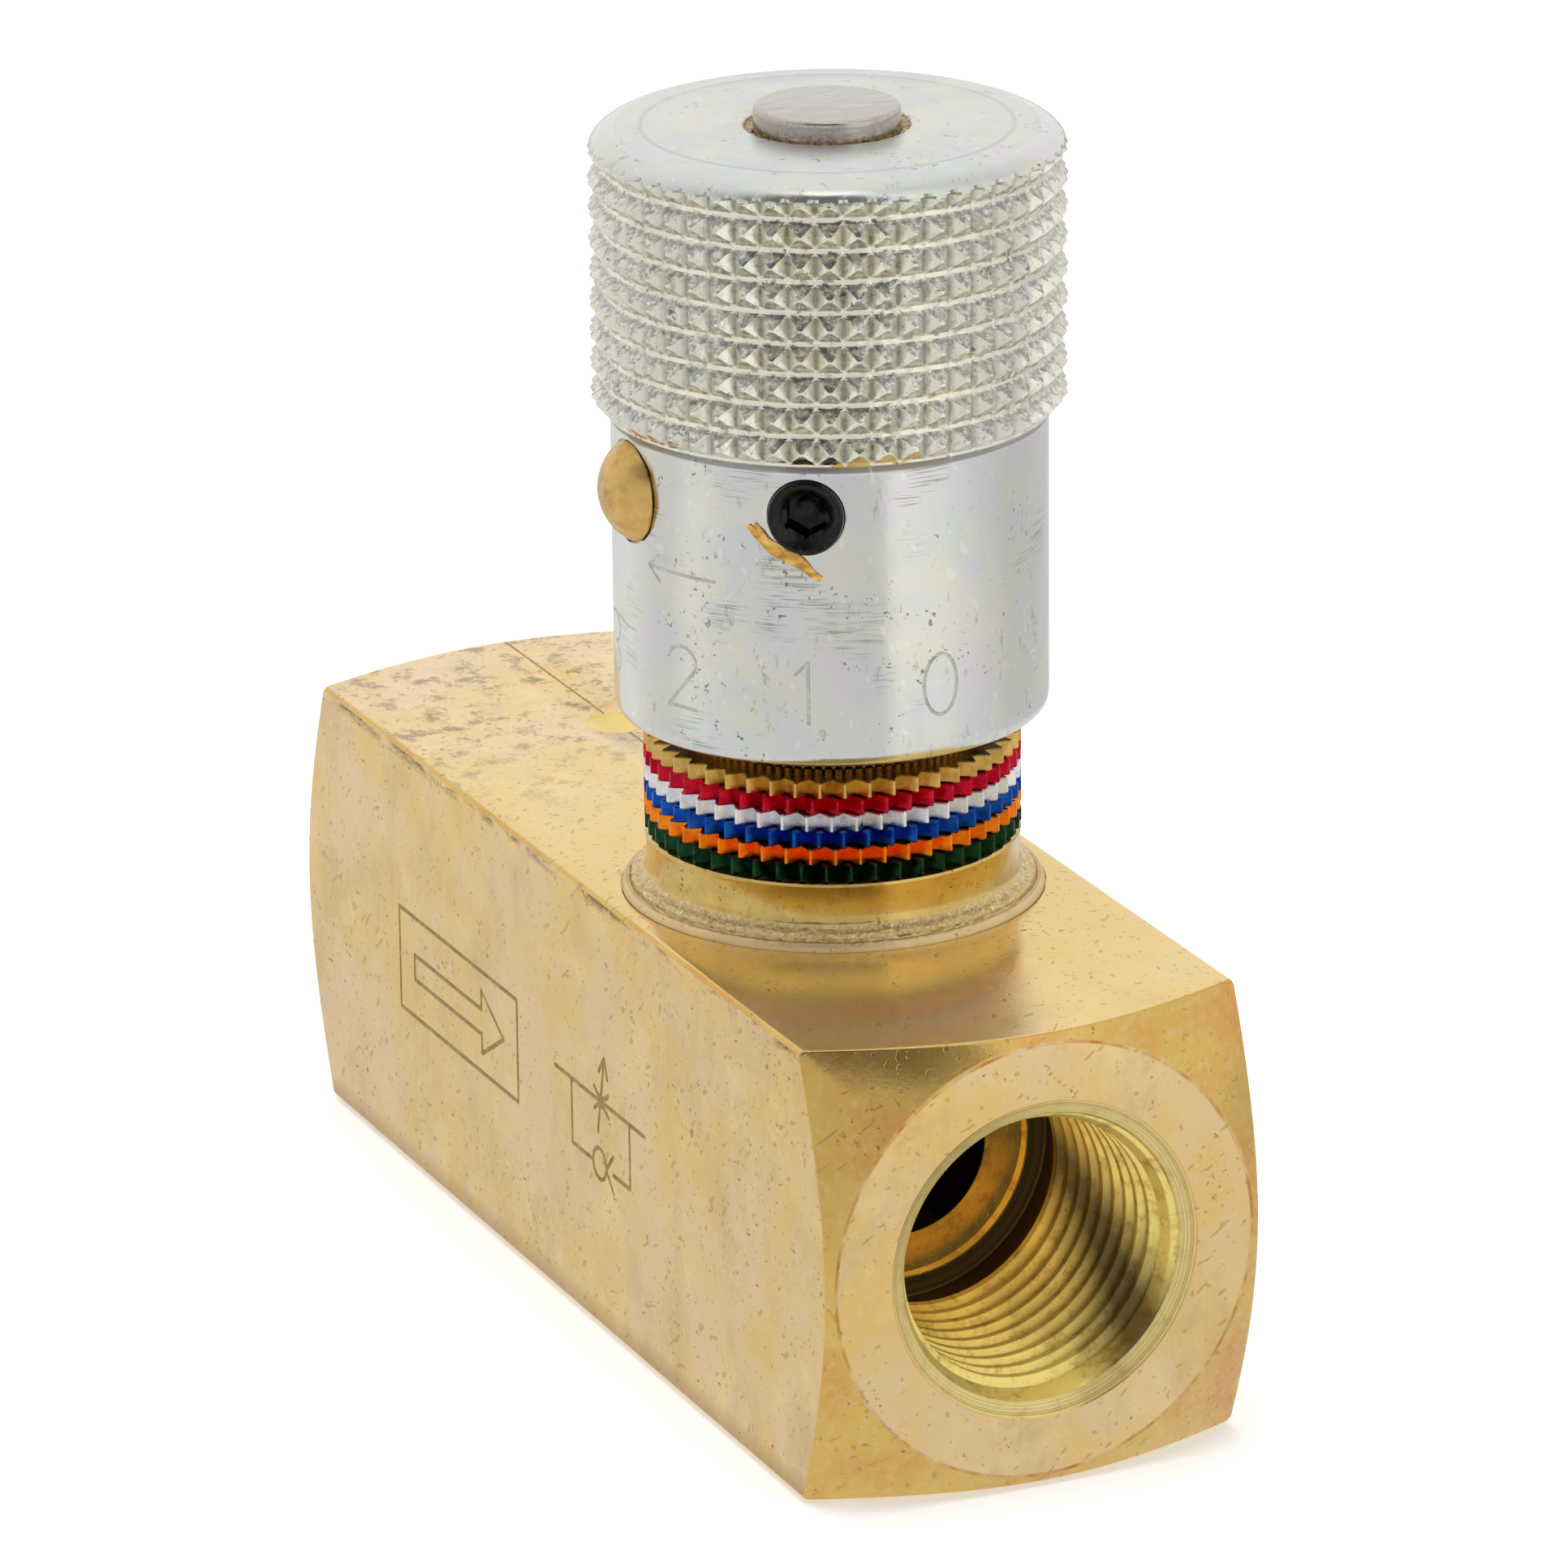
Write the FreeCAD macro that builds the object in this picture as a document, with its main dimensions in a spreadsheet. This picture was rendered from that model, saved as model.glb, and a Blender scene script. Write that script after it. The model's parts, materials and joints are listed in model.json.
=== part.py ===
import FreeCAD
import Part
import Sketcher
import math
import os
import re

# In-line throttle valve in a square brass bar: a fine-thread needle meters the flow one way
# and a sprung check poppet, in parallel, lets it return freely.
#
# Frame: origin on the bar's bottom face, straight under the needle's axis. +X runs along the
# bar towards the nearer port, +Z up the needle, so the bar's marked long side faces -Y.
# The rest position is the open valve with every scale ring showing. Closing turns the knob
# clockwise seen from above and carries it down one ring for each turn.
#
# The needle's thread is drawn as rings of grooves on a plain running cylinder. Port threads
# wind outwards from a straight wall, which stands for the crests of their taper.

DRIVING = {
    # bar
    "bar_width": 25.4,
    "bar_height": 25.4,
    "near_length": 26.65,
    "far_length": 46.65,
    "end_face_radius": 12.25,
    "end_cone_angle": 31,
    "bar_edge_radius": 0.4,
    "dimple_distance": 29.9,
    "dimple_radius": 1.9,
    "dimple_depth": 1.0,
    # ports, depths counted from the end face
    "mouth_radius": 8.95,
    "lead_radius": 8.45,
    "countersink_depth": 0.5,
    "lead_depth": 1.7,
    "crest_radius": 7.35,
    "root_radius": 8.2,
    "port_pitch": 1.411,
    "crest_end_depth": 14.75,
    "undercut_radius": 8.3,
    "undercut_end_depth": 17.25,
    "port_floor_depth": 17.55,
    "port_floor_radius": 7.15,
    # passages, distances counted from the needle's axis towards the far port
    "near_bore_radius": 4.8,
    "web_start": 8.0,
    "web_end": 11.0,
    "check_seat_radius": 3.6,
    "chamber_radius": 5.5,
    "snap_groove_start": 26.6,
    "snap_groove_width": 1.0,
    "snap_groove_radius": 6.1,
    "orifice_radius": 2.0,
    "pocket_radius": 7.0,
    "pocket_floor": 18.7,
    "gallery_radius": 1.0,
    "gallery_height": 19.5,
    "gallery_rise": 0.5,
    # bonnet, heights counted from the bar's bottom face
    "spot_face_radius": 11.63,
    "spot_face_depth": 0.15,
    "flange_rim": 0.4,
    "bead_shoulder": 0.7,
    "bead_crown": 1.05,
    "neck_flare": 0.35,
    "bonnet_bore_radius": 8.0,
    "bonnet_seat": 20.9,
    "seal_groove_bottom": 21.6,
    "seal_groove_top": 23.6,
    "seal_groove_radius": 6.1,
    "bead_radius": 11.2,
    "band_radius": 10.2,
    "band_bottom": 27.0,
    "spigot_radius": 7.95,
    "spigot_top": 36.0,
    "spigot_teeth": 90,
    "spigot_tooth_depth": 0.22,
    "guide_radius": 7.85,
    "relief_radius": 7.2,
    "relief_bottom": 40.6,
    "relief_top": 51.4,
    "bonnet_top": 52.6,
    "female_thread_radius": 4.0,
    "female_thread_bottom": 33.0,
    "gland_radius": 3.35,
    # scale rings
    "needle_pitch": 0.94,
    "ring_bottom": 28.92,
    "ring_tip_radius": 10.27,
    "ring_tooth_depth": 0.55,
    "ring_teeth": 48,
    # needle
    "needle_tip": 22.8,
    "needle_tip_radius": 0.5,
    "needle_radius": 2.4,
    "piston_bottom": 28.0,
    "piston_top": 33.4,
    "needle_groove_bottom": 28.5,
    "needle_groove_middle": 30.05,
    "needle_groove_top": 31.0,
    "needle_groove_radius": 1.85,
    "male_thread_bottom": 40.3,
    "male_thread_top": 52.0,
    "stem_radius": 3.88,
    "stem_top": 69.24,
    "stem_relief_depth": 0.5,
    "stem_relief_length": 1.2,
    # knob
    "knob_bottom": 35.8,
    "skirt_radius": 11.81,
    "skirt_bore_radius": 10.5,
    "skirt_bore_top": 43.2,
    "knob_bore_radius": 8.3,
    "knob_bore_top": 60.0,
    "knurl_bottom": 52.75,
    "knurl_tip_radius": 12.84,
    "knurl_depth": 0.69,
    "knurl_pitch": 1.685,
    "knurl_rows": 9,
    "knurl_columns": 52,
    "knurl_lead": 0.4,
    "shoulder_edge": 0.2,
    "knob_flat_radius": 10.0,
    "knob_top": 68.2,
    "hub_bore_radius": 3.9,
    "hub_mouth_radius": 4.45,
    "hub_mouth_depth": 1.2,
    # knob screws and pin
    "lock_screw_height": 49.88,
    "lock_screw_angle": -30.8,
    "lock_screw_radius": 2.05,
    "lock_screw_end": 12.1,
    "lock_screw_start": 9.05,
    "socket_flats": 2.0,
    "socket_depth": 2.2,
    "socket_countersink": 0.35,
    "screw_point": 0.4,
    "pad_tip_radius": 1.15,
    "pad_shoulder": 8.35,
    "stop_pin_height": 49.3,
    "stop_pin_radius": 1.6,
    "stop_pin_start": 7.35,
    "dome_radius": 2.75,
    "dome_seat": 11.55,
    "dome_rim": 0.25,
    "dome_height": 1.8,
    "bead_length": 4.7,
    "bead_width": 0.45,
    "bead_thickness": 0.14,
    "bead_angle": -36.5,
    "bead_height": 47.85,
    "bead_tilt": 33,
    # check valve, distances counted as for the passages
    "poppet_nose_radius": 2.4,
    "poppet_cone_radius": 4.6,
    "poppet_end": 18.0,
    "poppet_pocket_end": 13.9,
    "poppet_pocket_radius": 3.3,
    "poppet_flat": 4.2,
    "poppet_lead": 0.8,
    "spring_wire_radius": 0.4,
    "spring_mean_radius": 2.7,
    "spring_turns": 6,
    "retainer_start": 24.5,
    "retainer_end": 26.5,
    "retainer_boss_radius": 2.0,
    "retainer_boss_start": 22.9,
    "retainer_hole_radius": 1.1,
    "retainer_hole_circle": 3.8,
    "retainer_centre_hole": 1.2,
    "snap_ring_inner_radius": 4.9,
    "snap_ring_gap": 6.0,
    # clearances and small edges
    "running_gap": 0.05,
    "seat_gap": 0.03,
    "small_chamfer": 0.25,
    "bore_chamfer": 0.4,
    "cut_margin": 1.0,
    "skirt_edge_radius": 0.8,
}

# Sizes that follow from the driving ones.
DERIVED = {
    "axis_height": "bar_height / 2",
    "corner_radius": "bar_width / sqrt(2) + cut_margin",
    "cone_setback": "(corner_radius - end_face_radius) * tan(end_cone_angle)",
    "thread_tool_radius": "crest_radius - port_pitch / 8",
    "thread_tool_width": "2 * (root_radius - thread_tool_radius) * tan(30)",
    "thread_run": "(crest_end_depth + undercut_end_depth) / 2",
    "chamber_end": "far_length - port_floor_depth",
    "plug_radius": "bonnet_bore_radius - seat_gap",
    "flange_bottom": "bar_height - spot_face_depth",
    "flange_radius": "spot_face_radius - seat_gap * 2",
    "ring_thickness": "needle_pitch - running_gap / 2",
    "ring_bore_radius": "spigot_radius + seat_gap",
    "piston_radius": "gland_radius - running_gap",
    "needle_neck_radius": "piston_radius - small_chamfer",
    "male_thread_radius": "female_thread_radius - running_gap",
    "thread_half_width": "needle_pitch * 3 / 8",
    "knurl_root_radius": "knurl_tip_radius - knurl_depth",
    "knurl_top_peak": "knurl_bottom + (knurl_rows - 0.5) * knurl_pitch",
    "lock_hole_radius": "lock_screw_radius + running_gap",
    "pin_hole_radius": "stop_pin_radius + seat_gap",
    "dome_hole_radius": "dome_radius + 2 * running_gap",
    "chamber_fit_radius": "chamber_radius - running_gap",
    "poppet_nose_start": "web_end + seat_gap - (check_seat_radius - poppet_nose_radius)",
    "poppet_cone_end": "poppet_nose_start + poppet_cone_radius - poppet_nose_radius",
    "spring_length": "retainer_start - poppet_pocket_end - 2 * (spring_wire_radius + seat_gap)",
}

WORD = re.compile(r"[a-z]+(?:_[a-z]+)+")


def formula(text):
    """An expression on the sheet's cells, with the derived names written out."""

    def spell_out(found):
        word = found.group()
        if word in DERIVED:
            return "(" + formula(DERIVED[word]) + ")"
        return "Dims." + word

    return WORD.sub(spell_out, text)


def value(text):
    """The number that an expression on the sheet's cells gives now."""
    return float(sheet.evalExpression(formula(text)))


def make_sheet():
    made = document.addObject("Spreadsheet::Sheet", "Dims")
    for row, (name, size) in enumerate(DRIVING.items(), start=1):
        made.set(f"A{row}", name)
        made.set(f"B{row}", str(size))
        made.setAlias(f"B{row}", name)
    document.recompute()
    return made


# Building blocks


def new_body(label):
    body = document.addObject("PartDesign::Body", label)
    body.Label = label
    return body


def origin_feature(body, role):
    return next(part for part in body.Origin.OriginFeatures if part.Role == role)


def new_sketch(body, role, offset=None, turn=0.0, turn_axis=(0, 1, 0)):
    """A sketch on one of the body's own origin planes.

    offset is a formula for its height above the plane, and turn swings it about a line
    in the plane.
    """
    sketch = body.newObject("Sketcher::SketchObject", "Sketch")
    sketch.AttachmentSupport = [(origin_feature(body, role), "")]
    sketch.MapMode = "FlatFace"
    rotation = FreeCAD.Rotation(FreeCAD.Vector(*turn_axis), turn)
    sketch.AttachmentOffset = FreeCAD.Placement(FreeCAD.Vector(0, 0, 0), rotation)
    if offset is not None:
        sketch.setExpression("AttachmentOffset.Base.z", formula(offset))
    return sketch


def fix_point(sketch, curve, end, across, along):
    """Bind a point's two coordinates to formulas, or put it on an axis where one is zero."""
    if across == "0":
        sketch.addConstraint(Sketcher.Constraint("PointOnObject", curve, end, -2))
    else:
        index = sketch.addConstraint(
            Sketcher.Constraint("DistanceX", -1, 1, curve, end, value(across)))
        sketch.setExpression(f"Constraints[{index}]", formula(across))
    if along == "0":
        sketch.addConstraint(Sketcher.Constraint("PointOnObject", curve, end, -1))
    else:
        index = sketch.addConstraint(
            Sketcher.Constraint("DistanceY", -1, 1, curve, end, value(along)))
        sketch.setExpression(f"Constraints[{index}]", formula(along))


def outline(sketch, corners):
    """A closed outline of straight sides. Each corner is a pair of formulas."""
    points = [FreeCAD.Vector(value(across), value(along), 0) for across, along in corners]
    first = sketch.GeometryCount
    count = len(points)
    for index in range(count):
        sketch.addGeometry(Part.LineSegment(points[index], points[(index + 1) % count]))
    for index in range(count):
        following = first + (index + 1) % count
        sketch.addConstraint(Sketcher.Constraint("Coincident", first + index, 2, following, 1))
    for index, (across, along) in enumerate(corners):
        fix_point(sketch, first + index, 1, across, along)


def circle(sketch, radius, across="0", along="0"):
    """A circle whose radius and centre are formulas."""
    centre = FreeCAD.Vector(value(across), value(along), 0)
    curve = sketch.addGeometry(Part.Circle(centre, FreeCAD.Vector(0, 0, 1), value(radius)))
    index = sketch.addConstraint(Sketcher.Constraint("Radius", curve, value(radius)))
    sketch.setExpression(f"Constraints[{index}]", formula(radius))
    if across == "0" and along == "0":
        sketch.addConstraint(Sketcher.Constraint("Coincident", curve, 3, -1, 1))
    else:
        fix_point(sketch, curve, 3, across, along)


def axis_line(sketch, start, finish):
    """A construction line to turn about. It has to be the sketch's first."""
    ends = [FreeCAD.Vector(value(across), value(along), 0) for across, along in (start, finish)]
    curve = sketch.addGeometry(Part.LineSegment(*ends), True)
    fix_point(sketch, curve, 1, *start)
    fix_point(sketch, curve, 2, *finish)
    return (sketch, ["Axis0"])


def settle(body, feature, before=None, adds=False):
    """Recompute, and stop if a feature failed or changed nothing."""
    body.Tip = feature
    document.recompute()
    if "Invalid" in feature.State or "Error" in feature.State:
        raise RuntimeError(f"{body.Label}: {feature.Name} failed")
    if before is not None:
        change = feature.Shape.Volume - before
        if (change if adds else -change) < 1e-4:
            raise RuntimeError(f"{body.Label}: {feature.Name} changed nothing")
    return feature


def turned(body, corners):
    """A solid turned about the body's Z axis from (radius, height) corners."""
    sketch = new_sketch(body, "XZ_Plane")
    outline(sketch, corners)
    feature = body.newObject("PartDesign::Revolution", "Turned")
    feature.Profile = sketch
    feature.ReferenceAxis = (sketch, ["V_Axis"])
    feature.Angle = 360
    return settle(body, feature)


def grooved(body, sketch, axis):
    before = body.Tip.Shape.Volume
    feature = body.newObject("PartDesign::Groove", "Groove")
    feature.Profile = sketch
    feature.ReferenceAxis = axis
    feature.Angle = 360
    return settle(body, feature, before)


def padded(body, sketch, length):
    feature = body.newObject("PartDesign::Pad", "Pad")
    feature.Profile = sketch
    feature.setExpression("Length", formula(length))
    return settle(body, feature)


def pocketed(body, sketch, length, towards_normal=False, direction=None):
    """Cut a sketch away, against its plane's normal unless told otherwise."""
    before = body.Tip.Shape.Volume
    feature = body.newObject("PartDesign::Pocket", "Pocket")
    feature.Profile = sketch
    feature.setExpression("Length", formula(length))
    feature.Reversed = towards_normal
    if direction is not None:
        feature.UseCustomVector = True
        feature.Direction = direction
    return settle(body, feature, before)


def around(body, feature, axis, count):
    """Repeat a feature evenly round an axis."""
    before = body.Tip.Shape.Volume
    pattern = body.newObject("PartDesign::PolarPattern", "Round")
    pattern.Originals = [feature]
    pattern.Axis = axis
    pattern.Angle = 360
    pattern.setExpression("Occurrences", formula(count))
    return settle(body, pattern, before)


def place(body, across="0", depth="0", height="0", rotation=None):
    """Put a finished body in the valve's frame."""
    if rotation is not None:
        body.Placement = FreeCAD.Placement(FreeCAD.Vector(0, 0, 0), rotation)
    for letter, text in zip("xyz", (across, depth, height)):
        if text != "0":
            body.setExpression(f"Placement.Base.{letter}", formula(text))
    document.recompute()
    return body


def point_outwards(degrees):
    """A turn that lays local Z along a horizontal spoke, with local X left level."""
    upright = FreeCAD.Rotation(FreeCAD.Vector(0, 1, 0), 90)
    swing = FreeCAD.Rotation(FreeCAD.Vector(0, 0, 1), degrees)
    return swing.multiply(upright)


# The bar


def valve_body():
    body = new_body("valve_body")
    square = new_sketch(body, "YZ_Plane", offset="-far_length")
    outline(square, [
        ("-bar_width / 2", "0"),
        ("bar_width / 2", "0"),
        ("bar_width / 2", "bar_height"),
        ("-bar_width / 2", "bar_height"),
    ])
    padded(body, square, "near_length + far_length")
    round_long_edges(body)
    turn_ends(body)
    bore_through(body)
    for end in ("near", "far"):
        thread_port(body, end)
    bore_for_bonnet(body)
    drill_gallery(body)
    drill_dimple(body)
    return body


def round_long_edges(body):
    before = body.Tip.Shape.Volume
    base = body.Tip
    names = []
    for number, edge in enumerate(base.Shape.Edges, start=1):
        if edge.Length > value("near_length + far_length") * 0.9:
            names.append(f"Edge{number}")
    feature = body.newObject("PartDesign::Fillet", "LongEdges")
    feature.Base = (base, names)
    feature.setExpression("Radius", formula("bar_edge_radius"))
    settle(body, feature, before)


def turn_ends(body):
    """Turn both ends to a cone, which leaves a round face and bowed edges on the square."""
    sketch = new_sketch(body, "XZ_Plane")
    axis = axis_line(sketch, ("-far_length", "axis_height"), ("near_length", "axis_height"))
    for end, sign in (("near_length", "-"), ("-far_length", "+")):
        outline(sketch, [
            (end, "axis_height + end_face_radius"),
            (end, "axis_height + corner_radius"),
            (f"{end} {sign} cone_setback", "axis_height + corner_radius"),
        ])
    grooved(body, sketch, axis)


def port_steps(end, sign):
    """The stepped wall of a port, from its mouth inwards, as (place, radius)."""
    return [
        (end, "mouth_radius"),
        (f"{end} {sign} countersink_depth", "lead_radius"),
        (f"{end} {sign} lead_depth", "crest_radius"),
        (f"{end} {sign} crest_end_depth", "crest_radius"),
        (f"{end} {sign} crest_end_depth", "undercut_radius"),
        (f"{end} {sign} undercut_end_depth", "undercut_radius"),
        (f"{end} {sign} undercut_end_depth", "port_floor_radius"),
        (f"{end} {sign} port_floor_depth", "port_floor_radius"),
    ]


def bore_through(body):
    """The through passage: near port, bore, web with the check seat, chamber, far port."""
    passage = [
        ("near_length - port_floor_depth", "near_bore_radius"),
        ("-web_start", "near_bore_radius"),
        ("-web_start", "check_seat_radius"),
        ("-web_end", "check_seat_radius"),
        ("-web_end", "chamber_radius"),
        ("-snap_groove_start", "chamber_radius"),
        ("-snap_groove_start", "snap_groove_radius"),
        ("-snap_groove_start - snap_groove_width", "snap_groove_radius"),
        ("-snap_groove_start - snap_groove_width", "chamber_radius"),
        ("-chamber_end", "chamber_radius"),
    ]
    steps = port_steps("near_length", "-") + passage
    steps += list(reversed(port_steps("-far_length", "+")))
    corners = [(where, f"axis_height + {radius}") for where, radius in steps]
    corners.append(("-far_length", "axis_height"))
    corners.append(("near_length", "axis_height"))
    sketch = new_sketch(body, "XZ_Plane")
    axis = axis_line(sketch, ("-far_length", "axis_height"), ("near_length", "axis_height"))
    outline(sketch, corners)
    grooved(body, sketch, axis)


def thread_port(body, end):
    """Cut a port's thread as one V groove that winds between its mouth and its undercut."""
    start = {"near": "near_length - thread_run", "far": "-far_length"}[end]
    sketch = new_sketch(body, "XZ_Plane")
    axis = axis_line(sketch, ("-far_length", "axis_height"), ("near_length", "axis_height"))
    outline(sketch, [
        (f"{start} - thread_tool_width / 2", "axis_height + thread_tool_radius"),
        (start, "axis_height + root_radius"),
        (f"{start} + thread_tool_width / 2", "axis_height + thread_tool_radius"),
    ])
    before = body.Tip.Shape.Volume
    helix = body.newObject("PartDesign::SubtractiveHelix", "PortThread")
    helix.Profile = sketch
    helix.ReferenceAxis = axis
    helix.Mode = "pitch-height-angle"
    helix.setExpression("Pitch", formula("port_pitch"))
    helix.setExpression("Height", formula("thread_run"))
    settle(body, helix, before)


def bore_for_bonnet(body):
    """Spot face, bonnet bore, needle pocket and metering orifice, all on the needle's axis."""
    sketch = new_sketch(body, "XZ_Plane")
    outline(sketch, [
        ("0", "bar_height"),
        ("spot_face_radius", "bar_height"),
        ("spot_face_radius", "flange_bottom"),
        ("bonnet_bore_radius", "flange_bottom"),
        ("bonnet_bore_radius", "bonnet_seat"),
        ("pocket_radius", "bonnet_seat"),
        ("pocket_radius", "pocket_floor"),
        ("orifice_radius", "pocket_floor"),
        ("orifice_radius", "axis_height"),
        ("0", "axis_height"),
    ])
    grooved(body, sketch, (sketch, ["V_Axis"]))


def drill_gallery(body):
    """The drilling from the far port's floor, over the check chamber, to the needle pocket."""
    sketch = new_sketch(body, "YZ_Plane", offset="-chamber_end")
    circle(sketch, "gallery_radius", "0", "gallery_height")
    run = value("chamber_end - pocket_radius")
    direction = FreeCAD.Vector(run, 0, value("gallery_rise"))
    length = "chamber_end - pocket_radius / 2"
    pocketed(body, sketch, length, towards_normal=True, direction=direction)


def drill_dimple(body):
    """The drill-point dimple on the top face's centre line."""
    sketch = new_sketch(body, "XZ_Plane")
    middle = "-dimple_distance"
    axis = axis_line(sketch, (middle, "0"), (middle, "bar_height"))
    outline(sketch, [
        (middle, "bar_height - dimple_depth"),
        (f"{middle} + dimple_radius", "bar_height"),
        (middle, "bar_height"),
    ])
    grooved(body, sketch, axis)


# Bonnet and scale


def bonnet():
    body = new_body("bonnet")
    turned(body, [
        ("gland_radius", "bonnet_seat + running_gap"),
        ("plug_radius", "bonnet_seat + running_gap"),
        ("plug_radius", "seal_groove_bottom"),
        ("seal_groove_radius", "seal_groove_bottom"),
        ("seal_groove_radius", "seal_groove_top"),
        ("plug_radius", "seal_groove_top"),
        ("plug_radius", "flange_bottom"),
        ("flange_radius", "flange_bottom"),
        ("flange_radius", "flange_bottom + flange_rim"),
        ("bead_radius", "flange_bottom + bead_shoulder"),
        ("bead_radius - small_chamfer", "flange_bottom + bead_crown"),
        ("band_radius + neck_flare / 2", "band_bottom - neck_flare"),
        ("band_radius", "band_bottom"),
        ("band_radius", "ring_bottom - small_chamfer"),
        ("band_radius - small_chamfer", "ring_bottom"),
        ("spigot_radius", "ring_bottom"),
        ("spigot_radius", "spigot_top"),
        ("guide_radius", "spigot_top"),
        ("guide_radius", "relief_bottom"),
        ("relief_radius", "relief_bottom"),
        ("relief_radius", "relief_top"),
        ("guide_radius", "relief_top"),
        ("guide_radius", "bonnet_top - small_chamfer"),
        ("guide_radius - small_chamfer", "bonnet_top"),
        ("female_thread_radius", "bonnet_top"),
        ("female_thread_radius", "female_thread_bottom"),
        ("gland_radius", "female_thread_bottom - (female_thread_radius - gland_radius)"),
    ])
    knurl_spigot(body)
    return place(body)


def knurl_spigot(body):
    """Fine upright V grooves round the spigot, which grip the scale rings."""
    notch = new_sketch(body, "XY_Plane", offset="ring_bottom")
    reach = "spigot_radius * sin(180 / spigot_teeth)"
    outline(notch, [
        ("spigot_radius - spigot_tooth_depth", "0"),
        ("spigot_radius + seat_gap", f"-{reach}"),
        ("spigot_radius + seat_gap", reach),
    ])
    cut = pocketed(body, notch, "spigot_top - ring_bottom", towards_normal=True)
    around(body, cut, (notch, ["N_Axis"]), "spigot_teeth")


def o_ring(label, inner, outer, height):
    """A round-section seal between two radii, a hair clear of both."""
    body = new_body(label)
    section = f"({outer} - {inner}) / 2 - seat_gap"
    sketch = new_sketch(body, "XZ_Plane")
    circle(sketch, section, f"({outer} + {inner}) / 2", height)
    feature = body.newObject("PartDesign::Revolution", "Seal")
    feature.Profile = sketch
    feature.ReferenceAxis = (sketch, ["V_Axis"])
    feature.Angle = 360
    settle(body, feature)
    return place(body)


def toothed_ring(label, height, turn):
    """A thin ring with V teeth all round its rim, pressed on the bonnet's spigot."""
    body = new_body(label)
    blank = new_sketch(body, "XY_Plane")
    circle(blank, "ring_tip_radius")
    circle(blank, "ring_bore_radius")
    padded(body, blank, "ring_thickness")
    notch = new_sketch(body, "XY_Plane")
    reach = "ring_tip_radius * sin(180 / ring_teeth)"
    outline(notch, [
        ("ring_tip_radius - ring_tooth_depth", "0"),
        ("ring_tip_radius + seat_gap", f"-{reach}"),
        ("ring_tip_radius + seat_gap", reach),
    ])
    cut = pocketed(body, notch, "ring_thickness", towards_normal=True)
    around(body, cut, (notch, ["N_Axis"]), "ring_teeth")
    return place(body, height=height,
                 rotation=FreeCAD.Rotation(FreeCAD.Vector(0, 0, 1), turn))


def scale_rings():
    """Six coloured rings, one for each turn of the knob, stacked from the bottom up."""
    colours = ("green", "orange", "blue", "silver", "red", "gold")
    turns = (0.0, 2.2, 4.9, 1.1, 3.3, 5.8)
    for index, (colour, turn) in enumerate(zip(colours, turns)):
        toothed_ring(f"scale_ring_{colour}", f"ring_bottom + {index} * needle_pitch", turn)


# Needle and its seals


def needle_stem():
    body = new_body("needle_stem")
    corners = [
        ("0", "needle_tip"),
        ("needle_tip_radius", "needle_tip"),
        ("needle_radius", "needle_tip + 2 * (needle_radius - needle_tip_radius)"),
        ("needle_radius", "piston_bottom"),
        ("piston_radius", "piston_bottom"),
        ("piston_radius", "needle_groove_bottom"),
        ("needle_groove_radius", "needle_groove_bottom"),
        ("needle_groove_radius", "needle_groove_top"),
        ("piston_radius", "needle_groove_top"),
        ("piston_radius", "piston_top"),
        ("needle_neck_radius", "piston_top + small_chamfer"),
        ("needle_neck_radius", "male_thread_bottom - (male_thread_radius - needle_neck_radius)"),
    ]
    corners += male_thread("male_thread_bottom", "male_thread_top")
    corners += [
        ("stem_radius - stem_relief_depth", "male_thread_top"),
        ("stem_radius - stem_relief_depth", "male_thread_top + stem_relief_length"),
        ("stem_radius", "male_thread_top + stem_relief_length + stem_relief_depth"),
        ("stem_radius", "stem_top - small_chamfer"),
        ("stem_radius - small_chamfer", "stem_top"),
        ("0", "stem_top"),
    ]
    turned(body, corners)
    return place(body)


def male_thread(bottom, top):
    """Corners of V grooves at the needle's pitch, cut inwards from the running cylinder."""
    corners = [("male_thread_radius", bottom)]
    turns = int(value(f"({top} - {bottom}) / needle_pitch"))
    for index in range(turns):
        middle = f"{bottom} + ({index} + 1 / 2) * needle_pitch"
        corners.append(("male_thread_radius", f"{middle} - thread_half_width"))
        corners.append(("male_thread_radius - needle_pitch / 2", middle))
        corners.append(("male_thread_radius", f"{middle} + thread_half_width"))
    corners.append(("male_thread_radius", top))
    return corners


def needle_backup_ring():
    """The square-section ring above the needle's seal, which keeps it from extruding."""
    body = new_body("needle_backup_ring")
    inner = "needle_groove_radius + seat_gap"
    outer = "gland_radius - seat_gap"
    bottom = "needle_groove_middle"
    top = "needle_groove_top - running_gap"
    turned(body, [(inner, bottom), (outer, bottom), (outer, top), (inner, top)])
    return place(body)


# Knob, lock screw and stop pin


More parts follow.
